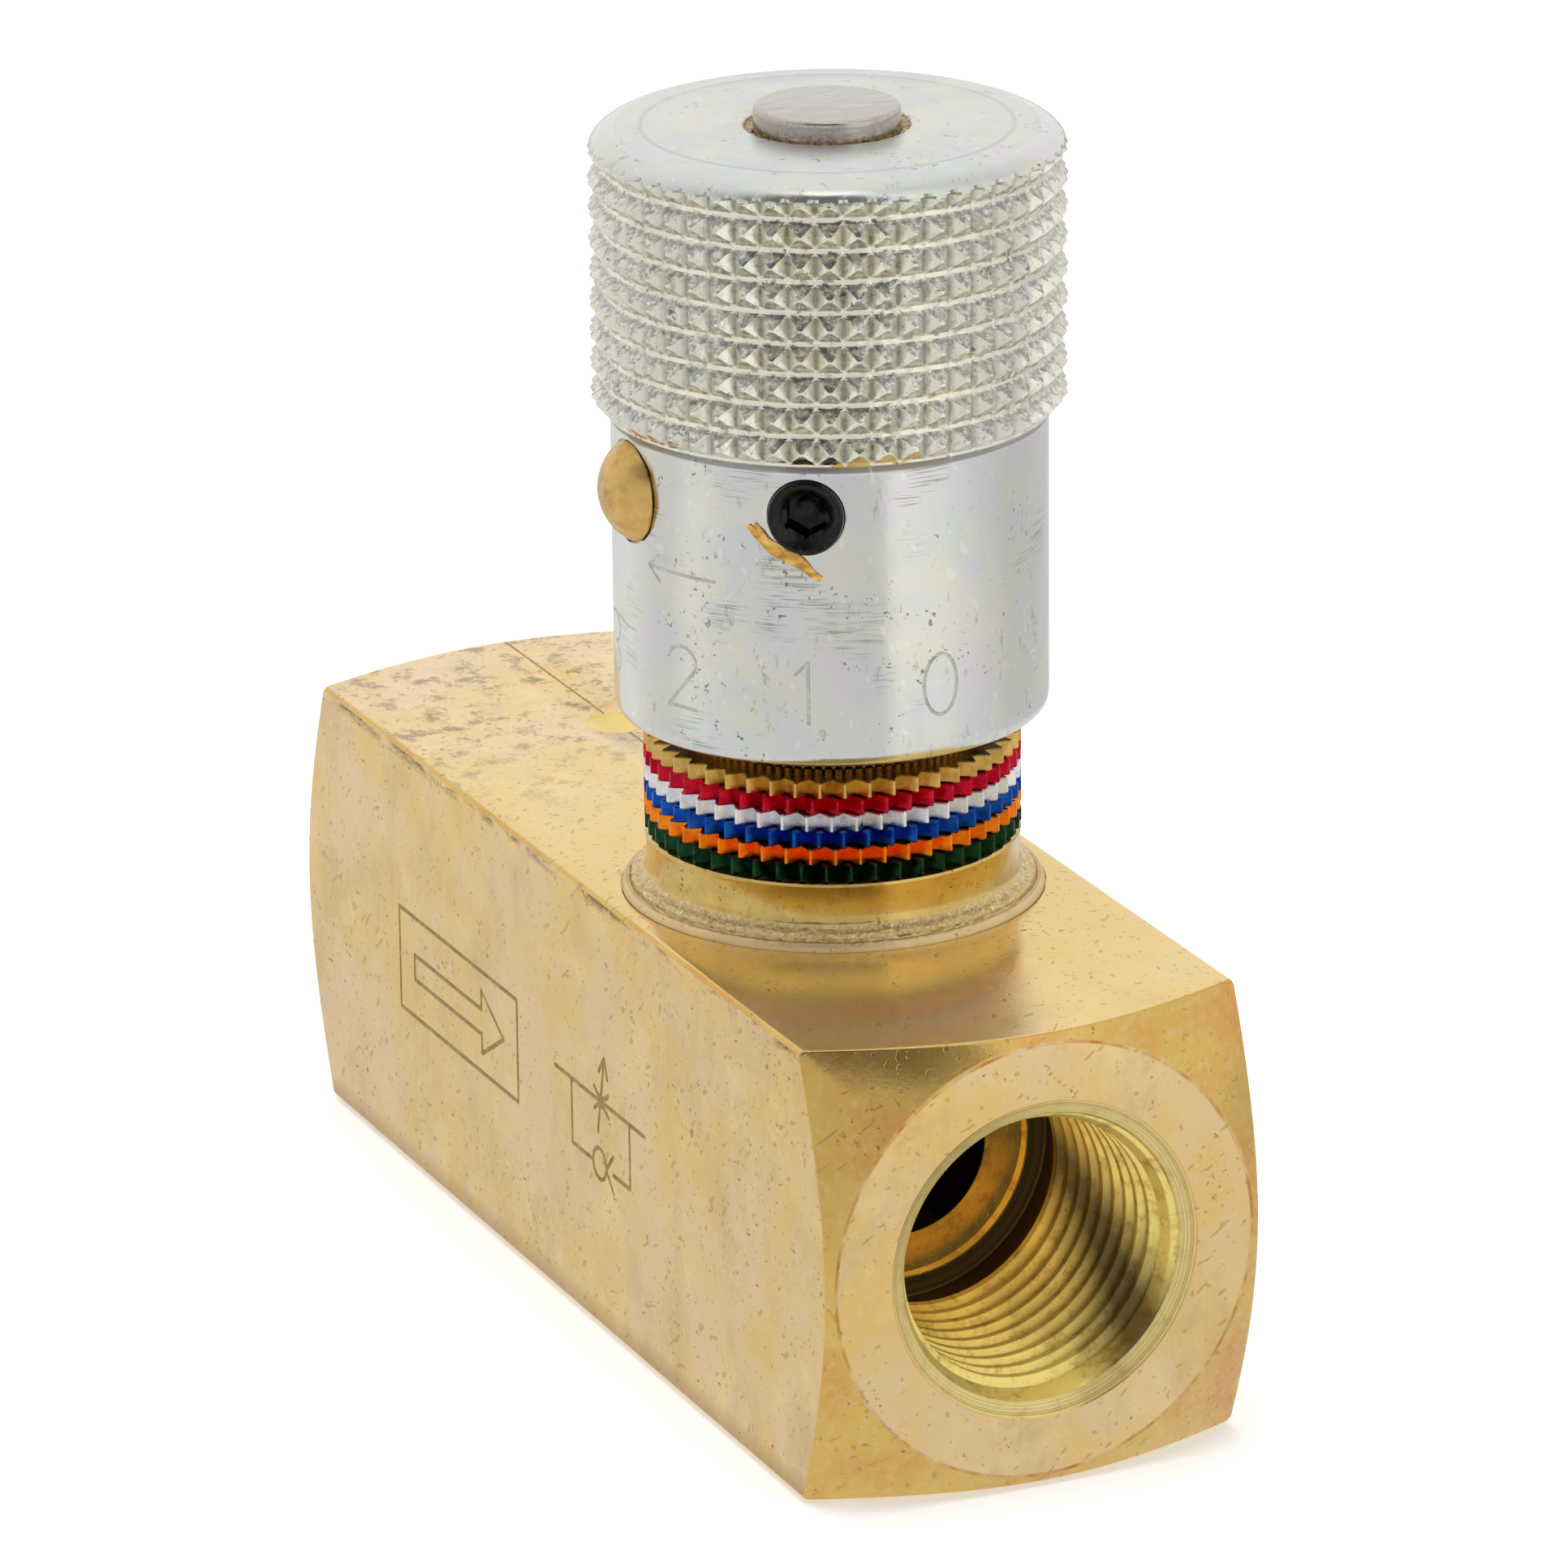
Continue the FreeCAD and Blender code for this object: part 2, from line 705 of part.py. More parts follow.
def knob():
    body = new_body("knob")
    corners = [
        ("hub_bore_radius", "knob_bore_top"),
        ("knob_bore_radius", "knob_bore_top"),
        ("knob_bore_radius", "skirt_bore_top"),
        ("skirt_bore_radius", "skirt_bore_top"),
        ("skirt_bore_radius", "knob_bottom + bore_chamfer"),
        ("skirt_bore_radius + bore_chamfer", "knob_bottom"),
        ("skirt_radius", "knob_bottom"),
        ("skirt_radius", "knurl_bottom - knurl_lead"),
    ]
    for row in range(DRIVING["knurl_rows"]):
        corners.append(("knurl_root_radius", f"knurl_bottom + {row} * knurl_pitch"))
        corners.append(("knurl_tip_radius", f"knurl_bottom + ({row} + 0.5) * knurl_pitch"))
    corners += [
        ("knurl_tip_radius - shoulder_edge", "knurl_top_peak + shoulder_edge"),
        ("knob_flat_radius", "knob_top"),
        ("hub_mouth_radius", "knob_top"),
        ("hub_mouth_radius", "knob_top - hub_mouth_depth"),
        ("hub_bore_radius", "knob_top - hub_mouth_depth - (hub_mouth_radius - hub_bore_radius)"),
    ]
    turned(body, corners)
    round_skirt_edge(body)
    cut_knurl_columns(body)
    drill_skirt(body, "lock_hole_radius", "lock_screw_height", "lock_screw_angle")
    drill_skirt(body, "pin_hole_radius", "stop_pin_height", "-90")
    drill_skirt(body, "dome_hole_radius", "stop_pin_height", "-90", "dome_seat - seat_gap")
    return place(body)


def round_skirt_edge(body):
    before = body.Tip.Shape.Volume
    base = body.Tip
    names = []
    for number, edge in enumerate(base.Shape.Edges, start=1):
        at_bottom = abs(edge.BoundBox.ZMax - value("knob_bottom")) < 1e-6
        if at_bottom and abs(edge.BoundBox.XMax - value("skirt_radius")) < 1e-6:
            names.append(f"Edge{number}")
    feature = body.newObject("PartDesign::Fillet", "SkirtEdge")
    feature.Base = (base, names)
    feature.setExpression("Radius", formula("skirt_edge_radius"))
    settle(body, feature, before)


def cut_knurl_columns(body):
    """Upright V grooves all round, which part the turned ridges into rows of pyramids."""
    notch = new_sketch(body, "XY_Plane", offset="knurl_bottom - knurl_lead")
    reach = "knurl_tip_radius * sin(180 / knurl_columns)"
    outline(notch, [
        ("knurl_root_radius", "0"),
        ("knurl_tip_radius + running_gap", f"-{reach}"),
        ("knurl_tip_radius + running_gap", reach),
    ])
    length = "knob_top - knurl_bottom + knurl_lead"
    cut = pocketed(body, notch, length, towards_normal=True)
    around(body, cut, (notch, ["N_Axis"]), "knurl_columns")


def drill_skirt(body, radius, height, angle, start="0"):
    """A hole through one side of the skirt, along a spoke at an angle from +X."""
    sketch = new_sketch(body, "XZ_Plane", offset=start, turn=value(angle) + 90)
    circle(sketch, radius, "0", height)
    pocketed(body, sketch, "knurl_tip_radius + cut_margin", towards_normal=True)


def lock_screw():
    """Black set screw with a hexagon socket, local Z pointing out of the knob."""
    body = new_body("lock_screw")
    half_flats = "socket_flats / 2"
    turned(body, [
        ("0", "lock_screw_start"),
        ("lock_screw_radius - screw_point", "lock_screw_start"),
        ("lock_screw_radius", "lock_screw_start + screw_point"),
        ("lock_screw_radius", "lock_screw_end - small_chamfer"),
        ("lock_screw_radius - small_chamfer", "lock_screw_end"),
        (f"{half_flats} + socket_countersink", "lock_screw_end"),
        (half_flats, "lock_screw_end - socket_countersink"),
        ("0", "lock_screw_end - socket_countersink"),
    ])
    hexagon = new_sketch(body, "XY_Plane", offset="lock_screw_end")
    corner = "socket_flats / sqrt(3)"
    outline(hexagon, [
        (f"{corner} * cos({60 * side})", f"{corner} * sin({60 * side})" if side % 3 else "0")
        for side in range(6)
    ])
    pocketed(body, hexagon, "socket_depth")
    return place(body, height="lock_screw_height",
                 rotation=point_outwards(value("lock_screw_angle")))


def lock_pad():
    """The stepped pad that the lock screw presses on the bonnet."""
    body = new_body("lock_pad")
    turned(body, [
        ("0", "relief_radius + seat_gap"),
        ("pad_tip_radius", "relief_radius + seat_gap"),
        ("pad_tip_radius", "pad_shoulder"),
        ("lock_screw_radius", "pad_shoulder"),
        ("lock_screw_radius", "lock_screw_start - seat_gap"),
        ("0", "lock_screw_start - seat_gap"),
    ])
    return place(body, height="lock_screw_height",
                 rotation=point_outwards(value("lock_screw_angle")))


def stop_pin():
    """Dome-headed pin in the skirt, whose shank runs in the bonnet's relief."""
    body = new_body("stop_pin")
    sketch = new_sketch(body, "XZ_Plane")
    rim = "dome_seat + dome_rim"
    shank = [
        ("0", f"{rim} + dome_height"),
        ("0", "stop_pin_start"),
        ("stop_pin_radius", "stop_pin_start"),
        ("stop_pin_radius", "dome_seat"),
        ("dome_radius", "dome_seat"),
        ("dome_radius", rim),
    ]
    points = [FreeCAD.Vector(value(across), value(along), 0) for across, along in shank]
    for start, finish in zip(points, points[1:]):
        sketch.addGeometry(Part.LineSegment(start, finish))
    last = len(shank) - 2
    for index in range(last):
        sketch.addConstraint(Sketcher.Constraint("Coincident", index, 2, index + 1, 1))
    for index, (across, along) in enumerate(shank[:-1]):
        fix_point(sketch, index, 1, across, along)
    fix_point(sketch, last, 2, *shank[-1])
    ball = "(dome_radius ^ 2 + dome_height ^ 2) / (2 * dome_height)"
    centre = FreeCAD.Vector(0, value(f"{rim} + dome_height - {ball}"), 0)
    crown = Part.Circle(centre, FreeCAD.Vector(0, 0, 1), value(ball))
    lowest = math.atan2(points[-1].y - centre.y, points[-1].x)
    arc = sketch.addGeometry(Part.ArcOfCircle(crown, lowest, math.pi / 2))
    sketch.addConstraint(Sketcher.Constraint("Coincident", arc, 1, last, 2))
    sketch.addConstraint(Sketcher.Constraint("Coincident", arc, 2, 0, 1))
    sketch.addConstraint(Sketcher.Constraint("PointOnObject", arc, 3, -2))
    feature = body.newObject("PartDesign::Revolution", "Pin")
    feature.Profile = sketch
    feature.ReferenceAxis = (sketch, ["V_Axis"])
    feature.Angle = 360
    settle(body, feature)
    return place(body, height="stop_pin_height", rotation=point_outwards(-90))


def thread_lock_bead():
    """The string of set thread-locking compound squeezed out below the lock screw."""
    bead = document.addObject("Part::Box", "thread_lock_bead")
    bead.Label = "thread_lock_bead"
    bead.setExpression("Length", formula("bead_length"))
    bead.setExpression("Width", formula("bead_width"))
    bead.setExpression("Height", formula("bead_thickness"))
    # Local X runs along the bead, local Z out of the skirt.
    level = FreeCAD.Rotation(
        FreeCAD.Vector(0, 1, 0), FreeCAD.Vector(0, 0, 1), FreeCAD.Vector(1, 0, 0), "ZXY")
    tilt = FreeCAD.Rotation(FreeCAD.Vector(0, 0, 1), -value("bead_tilt"))
    swing = FreeCAD.Rotation(FreeCAD.Vector(0, 0, 1), value("bead_angle"))
    turn = swing.multiply(level).multiply(tilt)
    middle = turn.multVec(FreeCAD.Vector(-value("bead_length") / 2, -value("bead_width") / 2, 0))
    spoke = swing.multVec(FreeCAD.Vector(value("skirt_radius + seat_gap"), 0, 0))
    lift = FreeCAD.Vector(0, 0, value("bead_height"))
    bead.Placement = FreeCAD.Placement(spoke + middle + lift, turn)
    document.recompute()
    return bead


# Check valve. Each piece is drawn with local Z along +X of the valve.

ALONG_BAR = FreeCAD.Rotation(FreeCAD.Vector(0, 1, 0), 90)


def check_poppet():
    """Sprung poppet: a cone nose on the seat, and a guide with four flats for the flow."""
    body = new_body("check_poppet")
    turned(body, [
        ("0", "-poppet_nose_start"),
        ("0", "-poppet_pocket_end"),
        ("poppet_pocket_radius", "-poppet_pocket_end"),
        ("poppet_pocket_radius", "-poppet_end"),
        ("chamber_fit_radius", "-poppet_end"),
        ("chamber_fit_radius", "-poppet_cone_end - poppet_lead"),
        ("poppet_cone_radius", "-poppet_cone_end"),
        ("poppet_nose_radius", "-poppet_nose_start"),
    ])
    side = new_sketch(body, "XY_Plane", offset="-poppet_end")
    outline(side, [
        ("poppet_flat", "-chamber_radius"),
        ("chamber_radius", "-chamber_radius"),
        ("chamber_radius", "chamber_radius"),
        ("poppet_flat", "chamber_radius"),
    ])
    length = "poppet_end - poppet_nose_start"
    cut = pocketed(body, side, length, towards_normal=True)
    around(body, cut, (side, ["N_Axis"]), "4")
    return place(body, height="axis_height", rotation=ALONG_BAR)


def check_spring():
    """Light compression spring between the poppet and its retainer."""
    body = new_body("check_spring")
    sketch = new_sketch(body, "XZ_Plane")
    circle(sketch, "spring_wire_radius", "spring_mean_radius",
           "-retainer_start + spring_wire_radius + seat_gap")
    coil = body.newObject("PartDesign::AdditiveHelix", "Coil")
    coil.Profile = sketch
    coil.ReferenceAxis = (sketch, ["V_Axis"])
    coil.Mode = "pitch-height-angle"
    coil.setExpression("Pitch", formula("spring_length / spring_turns"))
    coil.setExpression("Height", formula("spring_length"))
    settle(body, coil)
    return place(body, height="axis_height", rotation=ALONG_BAR)


def spring_retainer():
    """Holed disc with a boss that centres the spring."""
    body = new_body("spring_retainer")
    turned(body, [
        ("retainer_centre_hole", "-retainer_end"),
        ("chamber_fit_radius", "-retainer_end"),
        ("chamber_fit_radius", "-retainer_start"),
        ("retainer_boss_radius", "-retainer_start"),
        ("retainer_boss_radius", "-retainer_boss_start"),
        ("retainer_centre_hole", "-retainer_boss_start"),
    ])
    hole = new_sketch(body, "XY_Plane", offset="-retainer_end")
    circle(hole, "retainer_hole_radius", "retainer_hole_circle", "0")
    cut = pocketed(body, hole, "retainer_end - retainer_boss_start", towards_normal=True)
    around(body, cut, (hole, ["N_Axis"]), "6")
    return place(body, height="axis_height", rotation=ALONG_BAR)


def retaining_ring():
    """Open spring ring in its groove behind the retainer."""
    body = new_body("retaining_ring")
    blank = new_sketch(body, "XY_Plane",
                       offset="-snap_groove_start - snap_groove_width + running_gap")
    circle(blank, "snap_groove_radius - running_gap")
    circle(blank, "snap_ring_inner_radius")
    padded(body, blank, "snap_groove_width - 2 * running_gap")
    gap = new_sketch(body, "XY_Plane", offset="-snap_groove_start - snap_groove_width")
    outline(gap, [
        ("0", "-snap_ring_gap / 2"),
        ("snap_groove_radius + cut_margin", "-snap_ring_gap / 2"),
        ("snap_groove_radius + cut_margin", "snap_ring_gap / 2"),
        ("0", "snap_ring_gap / 2"),
    ])
    pocketed(body, gap, "snap_groove_width + cut_margin", towards_normal=True)
    return place(body, height="axis_height", rotation=ALONG_BAR)


# The whole valve


def build():
    valve_body()
    bonnet()
    o_ring("bonnet_seal", "seal_groove_radius", "bonnet_bore_radius",
           "(seal_groove_bottom + seal_groove_top) / 2")
    scale_rings()
    needle_stem()
    o_ring("needle_o_ring", "needle_groove_radius", "gland_radius",
           "(needle_groove_bottom + needle_groove_middle) / 2")
    needle_backup_ring()
    knob()
    lock_screw()
    lock_pad()
    stop_pin()
    thread_lock_bead()
    check_poppet()
    check_spring()
    spring_retainer()
    retaining_ring()


def check_document():
    """Every object up to date, every sub-part one valid solid."""
    for item in document.Objects:
        if "Invalid" in item.State or "Error" in item.State:
            raise RuntimeError(f"{item.Label} is {item.State}")
    parts = [item for item in document.Objects
             if item.TypeId in ("PartDesign::Body", "Part::Box")]
    for item in parts:
        shape = item.Shape
        if shape.isNull() or not shape.isValid() or len(shape.Solids) != 1:
            raise RuntimeError(f"{item.Label} is not one valid solid")
    return parts


def write(parts):
    os.makedirs("parts", exist_ok=True)
    for item in parts:
        item.Shape.exportStep(os.path.join("parts", item.Label + ".step"))
        print(f"{item.Label}: {item.Shape.Volume:.2f} mm3")


document = FreeCAD.newDocument("needle_valve")
sheet = make_sheet()
build()
write(check_document())
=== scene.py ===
import json
import math

import bmesh
import bpy
import numpy as np
from mathutils import Matrix, Vector, noise


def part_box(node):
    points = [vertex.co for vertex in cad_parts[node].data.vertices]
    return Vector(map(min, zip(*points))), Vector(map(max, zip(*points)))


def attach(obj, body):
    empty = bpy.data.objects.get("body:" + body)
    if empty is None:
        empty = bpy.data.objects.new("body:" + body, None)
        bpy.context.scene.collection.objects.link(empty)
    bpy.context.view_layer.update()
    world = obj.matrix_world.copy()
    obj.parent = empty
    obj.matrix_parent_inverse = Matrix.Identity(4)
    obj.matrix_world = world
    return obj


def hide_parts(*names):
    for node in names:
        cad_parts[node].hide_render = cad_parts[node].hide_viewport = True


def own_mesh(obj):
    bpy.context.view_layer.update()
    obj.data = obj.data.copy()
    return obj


# The visual model of the in-line needle valve. Shapes are worked out in millimetres, in the
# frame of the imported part, and turned into metres when a mesh is made.

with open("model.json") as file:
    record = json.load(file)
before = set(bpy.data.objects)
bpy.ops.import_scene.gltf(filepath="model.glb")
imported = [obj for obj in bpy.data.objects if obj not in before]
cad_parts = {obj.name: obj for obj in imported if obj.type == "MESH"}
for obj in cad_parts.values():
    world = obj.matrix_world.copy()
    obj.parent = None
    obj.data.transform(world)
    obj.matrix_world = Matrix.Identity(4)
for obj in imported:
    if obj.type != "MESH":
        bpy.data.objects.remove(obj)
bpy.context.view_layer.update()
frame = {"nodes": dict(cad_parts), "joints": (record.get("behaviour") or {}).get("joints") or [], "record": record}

MM = 0.001
TURN = 2 * math.pi
MOUNT = {mount["name"]: mount for mount in frame["record"]["mounts"]}
JOINT = {joint["name"]: joint for joint in frame["joints"]}


def box_mm(node):
    low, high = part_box(node)
    return np.array(low) / MM, np.array(high) / MM


def middle_mm(node):
    low, high = box_mm(node)
    return (low + high) / 2


def vertices_mm(node):
    return np.array([vertex.co for vertex in frame["nodes"][node].data.vertices]) / MM


# The bar and its ports
BAR_LOW, BAR_HIGH = box_mm("valve_body")
X_FAR, X_NEAR = BAR_LOW[0], BAR_HIGH[0]
HALF = BAR_HIGH[1]
BAR_TOP = BAR_HIGH[2]
AXIS_Z = MOUNT["near_port"]["pos_m"][2] / MM
CREST = MOUNT["near_port"]["dims"]["r_mm"]
PORT_LENGTH = MOUNT["near_port"]["dims"]["length_mm"]
CREST_START = X_NEAR - MOUNT["near_port"]["pos_m"][0] / MM - PORT_LENGTH / 2
CREST_END = CREST_START + PORT_LENGTH
ROOT = CREST + 0.85
PITCH = 1.411
FACE_RADIUS = HALF - 0.45
CONE_SLOPE = math.tan(math.radians(31))
MOUTH = CREST + 1.6
COUNTERSINK = 0.5
LEAD = MOUTH - 0.85
UNDERCUT = ROOT + 0.1
UNDERCUT_END = CREST_END + 2.5
PORT_FLOOR = UNDERCUT_END + 0.3
FLOOR_RADIUS = 7.15
DIMPLE_X = -29.9
DIMPLE_RADIUS = 1.9
BAR_MIDDLE = (X_NEAR + X_FAR) / 2
BAR_CORNER = 0.4
SCRIBE_END = -6.0

# The bores in the bar: radii, and places along it or up from the table
NEAR_BORE, SEAT_BORE, CHAMBER, CLIP_GROOVE = 4.8, 3.6, 5.5, 6.1
SEAT_START, SEAT_END, CLIP_START, CLIP_END = -8.0, -11.0, -26.6, -27.6
SPOT_FACE, BONNET_BORE, POCKET, ORIFICE = 11.63, 8.0, 7.0, 2.0
BONNET_FLOOR, POCKET_FLOOR = 20.9, 18.7

# The bonnet: its plug in the bar, and its spigot and thread above the rings
PLUG = 7.97
PLUG_END = 20.95
SEAL_FLOOR = 6.1
NECK_BORE = 3.35
BONNET_THREAD = 4.0
SPIGOT = 7.94
SPIGOT_TEETH = 90
SPIGOT_NOTCH = 0.22
NECK_THREAD = 7.85

# The knob
KNOB_LOW, KNOB_HIGH = box_mm("knob")
TIP = KNOB_HIGH[1]
KNURL_DEPTH = 0.69
KNURL_ROWS = 9
KNURL_COLUMNS = 52
KNURL_PITCH = 1.685
SKIRT = TIP - 1.03
KNURL_BOTTOM = KNOB_LOW[2] + 16.95
CROWN_START = KNURL_BOTTOM + (KNURL_ROWS - 0.5) * KNURL_PITCH
KNOB_SPLIT = 60.0
CROWN_RADIUS = 11.0
HUB_MOUTH = 4.45
LOCK_AXIS = np.array(JOINT["lock_press"]["axis"])
LOCK_ANGLE = math.atan2(LOCK_AXIS[1], LOCK_AXIS[0])
PIN_ANGLE = -TURN / 4
PIN_SEAT = 11.55
NEEDLE_PITCH = 0.94
RING_TEETH = 48
RING_NOTCH = 0.76


# Meshes


class Shell:
    """Grids of points that join up into one mesh."""

    def __init__(self):
        self.points = []
        self.faces = []
        self.count = 0

    def grid(self, points, wrap=True, split=None):
        """Add rows of points. split says which quads are cut in two: 1 from their first corner
        to their third, 2 from their second to their fourth."""
        rows, columns = points.shape[:2]
        index = np.arange(rows * columns).reshape(rows, columns) + self.count
        right = np.roll(index, -1, axis=1)
        if not wrap:
            index, right = index[:, :-1], right[:, :-1]
        quads = np.stack([index[:-1], right[:-1], right[1:], index[1:]], axis=-1)
        if split is None:
            split = np.zeros(quads.shape[:2])
        self.faces.append(quads[split == 0])
        for way, corners in ((1, [0, 1, 2]), (1, [0, 2, 3]), (2, [0, 1, 3]), (2, [1, 2, 3])):
            self.faces.append(quads[split == way][:, corners])
        self.points.append(points.reshape(-1, 3))
        self.count += rows * columns

    def bmesh(self):
        faces = [list(map(int, face)) for block in self.faces for face in block]
        made = mesh_of(np.concatenate(self.points), faces)
        tidy(made)
        return made


def mesh_of(points, faces):
    made = bmesh.new()
    mesh = bpy.data.meshes.new("points")
    mesh.from_pydata((points * MM).tolist(), [], faces)
    made.from_mesh(mesh)
    bpy.data.meshes.remove(mesh)
    return made


def tidy(made):
    """Weld what meets, drop what has no area, and face everything outwards."""
    bmesh.ops.remove_doubles(made, verts=made.verts, dist=1e-6)
    bmesh.ops.dissolve_degenerate(made, edges=made.edges, dist=1e-7)
    bmesh.ops.recalc_face_normals(made, faces=made.faces)


def skin(*grids):
    """One mesh out of grids of points that close on themselves."""
    shell = Shell()
    for points in grids:
        shell.grid(points)
    return shell.bmesh()


def capped(rows):
    """A tube of point rows, with each end drawn in to its middle."""
    rows = np.array(rows)
    first = rows[:1].mean(axis=1, keepdims=True) + 0 * rows[:1]
    last = rows[-1:].mean(axis=1, keepdims=True) + 0 * rows[-1:]
    return np.concatenate([first, rows, last])


def new_object(name, made, sharp=30):
    """An object from a bmesh, smooth between its sharp edges."""
    mesh = bpy.data.meshes.new(name)
    made.to_mesh(mesh)
    made.free()
    mesh.shade_smooth()
    mesh.set_sharp_from_angle(angle=math.radians(sharp))
    made_object = bpy.data.objects.new(name, mesh)
    bpy.context.scene.collection.objects.link(made_object)
    return made_object


def piece(name, made, body, node, materials, sharp=30):
    """A finished piece that rides on a body and stands for a node of the frame."""
    made_object = new_object(name, made, sharp)
    for material in materials:
        made_object.data.materials.append(material)
    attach(made_object, body)
    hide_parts(node)
    return made_object


def cut(made, *tools):
    """The solid less the closed tools, one after another."""
    solid = new_object("solid", made)
    for tool in tools:
        cutter = new_object("cutter", tool)
        for target in (solid, cutter):
            while len(target.data.materials) < 2:
                target.data.materials.append(None)
        modifier = solid.modifiers.new("cut", "BOOLEAN")
        modifier.operation = "DIFFERENCE"
        modifier.solver = "EXACT"
        modifier.object = cutter
        graph = bpy.context.evaluated_depsgraph_get()
        mesh = bpy.data.meshes.new_from_object(solid.evaluated_get(graph))
        solid.modifiers.clear()
        old = solid.data
        solid.data = mesh
        bpy.data.meshes.remove(old)
        bpy.data.objects.remove(cutter)
    result = bmesh.new()
    result.from_mesh(solid.data)
    bpy.data.objects.remove(solid)
    return result


def join(made, other):
    """Add another mesh to this one."""
    mesh = bpy.data.meshes.new("joined")
    other.to_mesh(mesh)
    other.free()
    made.from_mesh(mesh)
    bpy.data.meshes.remove(mesh)
    tidy(made)
    return made


def lump(place, finer):
    """Smooth noise, with half as much again at a finer size."""
    return noise.noise(place) + 0.5 * noise.noise(place * finer)


def jitter(points, size, depth, seed=0.0):
    """Push points away from Z or towards it, with smooth noise."""
    moved = points.copy()
    shift = Vector((seed, seed, seed))
    for row in moved:
        for p in row:
            push = lump(Vector(p) / size + shift, 2.7) * depth
            p[:2] *= 1 + push / max(1.0, math.hypot(p[0], p[1]))
    return moved


def around_z(profile, angles, radius=None):
    """Points of a surface turned about Z. radius(r, angles) may shape it round the turn."""
    rows = []
    for r, z in profile:
        reach = r if radius is None else radius(r, angles)
        rows.append(np.stack([
            reach * np.cos(angles), reach * np.sin(angles), np.full_like(angles, z)], axis=-1))
    return np.array(rows)


def around_x(places, radii, angles):
    """Points of a surface turned about the ports' axis. Both lists may hold one row an angle."""
    rows = []
    for x, r in zip(places, radii):
        x = np.broadcast_to(x, angles.shape)
        rows.append(np.stack([x, r * np.cos(angles), AXIS_Z + r * np.sin(angles)], axis=-1))
    return np.array(rows)


def even_angles(count):
    return np.arange(count) * TURN / count


def from_whole(phase):
    """How far a phase is from the nearest whole number, so half at most."""
    return np.abs(phase - np.round(phase))


def soften(before, corner, after, size, steps=4):
    """Points that round a corner off. Each point is a pair, whose parts may be arrays."""
    before, corner, after = (
        np.stack(np.broadcast_arrays(*np.atleast_1d(*point))) for point in (before, corner, after))
    before, corner, after = np.broadcast_arrays(before, corner, after)
    inward = before - corner
    outward = after - corner
    start = corner + inward / np.linalg.norm(inward, axis=0) * size
    finish = corner + outward / np.linalg.norm(outward, axis=0) * size
    points = []
    for step in range(steps + 1):
        t = step / steps
        points.append((1 - t) ** 2 * start + 2 * t * (1 - t) * corner + t ** 2 * finish)
    return points


def rounded(corners, sizes, steps=3):
    """A profile with corners rounded off. A size of zero leaves its corner as it is."""
    points = [corners[0]]
    for index in range(1, len(corners) - 1):
        if sizes[index] == 0:
            points.append(corners[index])
            continue
        arc = soften(corners[index - 1], corners[index], corners[index + 1], sizes[index], steps)
        points.extend((float(p[0][0]), float(p[1][0])) for p in arc)
    points.append(corners[-1])
    return points


def spoke(angle):
    """Unit vectors along the skirt, up, and out of it, at an angle from +X."""
    out = np.array([math.cos(angle), math.sin(angle), 0.0])
    up = np.array([0.0, 0.0, 1.0])
    return np.cross(up, out), up, out


def on_spoke(points, angle, height):
    """Move points turned about Z so that they turn about a spoke at a height instead."""
    along, up, out = spoke(angle)
    moved = points[..., 0:1] * along + points[..., 1:2] * up + points[..., 2:3] * out
    moved[..., 2] += height
    return moved


# Strokes cut into a surface


def distance_to(strokes, across, along):
    """Each point's distance to the nearest stroke, which is a run of straight pieces."""
    nearest = np.full(across.shape, np.inf)
    for stroke in strokes:
        for (x0, y0), (x1, y1) in zip(stroke, stroke[1:]):
            dx, dy = x1 - x0, y1 - y0
            length = dx * dx + dy * dy
            t = np.clip(((across - x0) * dx + (along - y0) * dy) / max(length, 1e-9), 0, 1)
            gap = np.hypot(across - x0 - t * dx, along - y0 - t * dy)
            nearest = np.minimum(nearest, gap)
    return nearest


def arc_stroke(centre, radius, start, finish, squash=1.0, steps=14):
    angles = np.radians(np.linspace(start, finish, steps))
    return [
        (centre[0] + radius * squash * math.cos(a), centre[1] + radius * math.sin(a))
        for a in angles
    ]


def marked(made):
    """Give a cutter the piece's second material, which its cut then shows."""
    for face in made.faces:
        face.material_index = 1
    return made


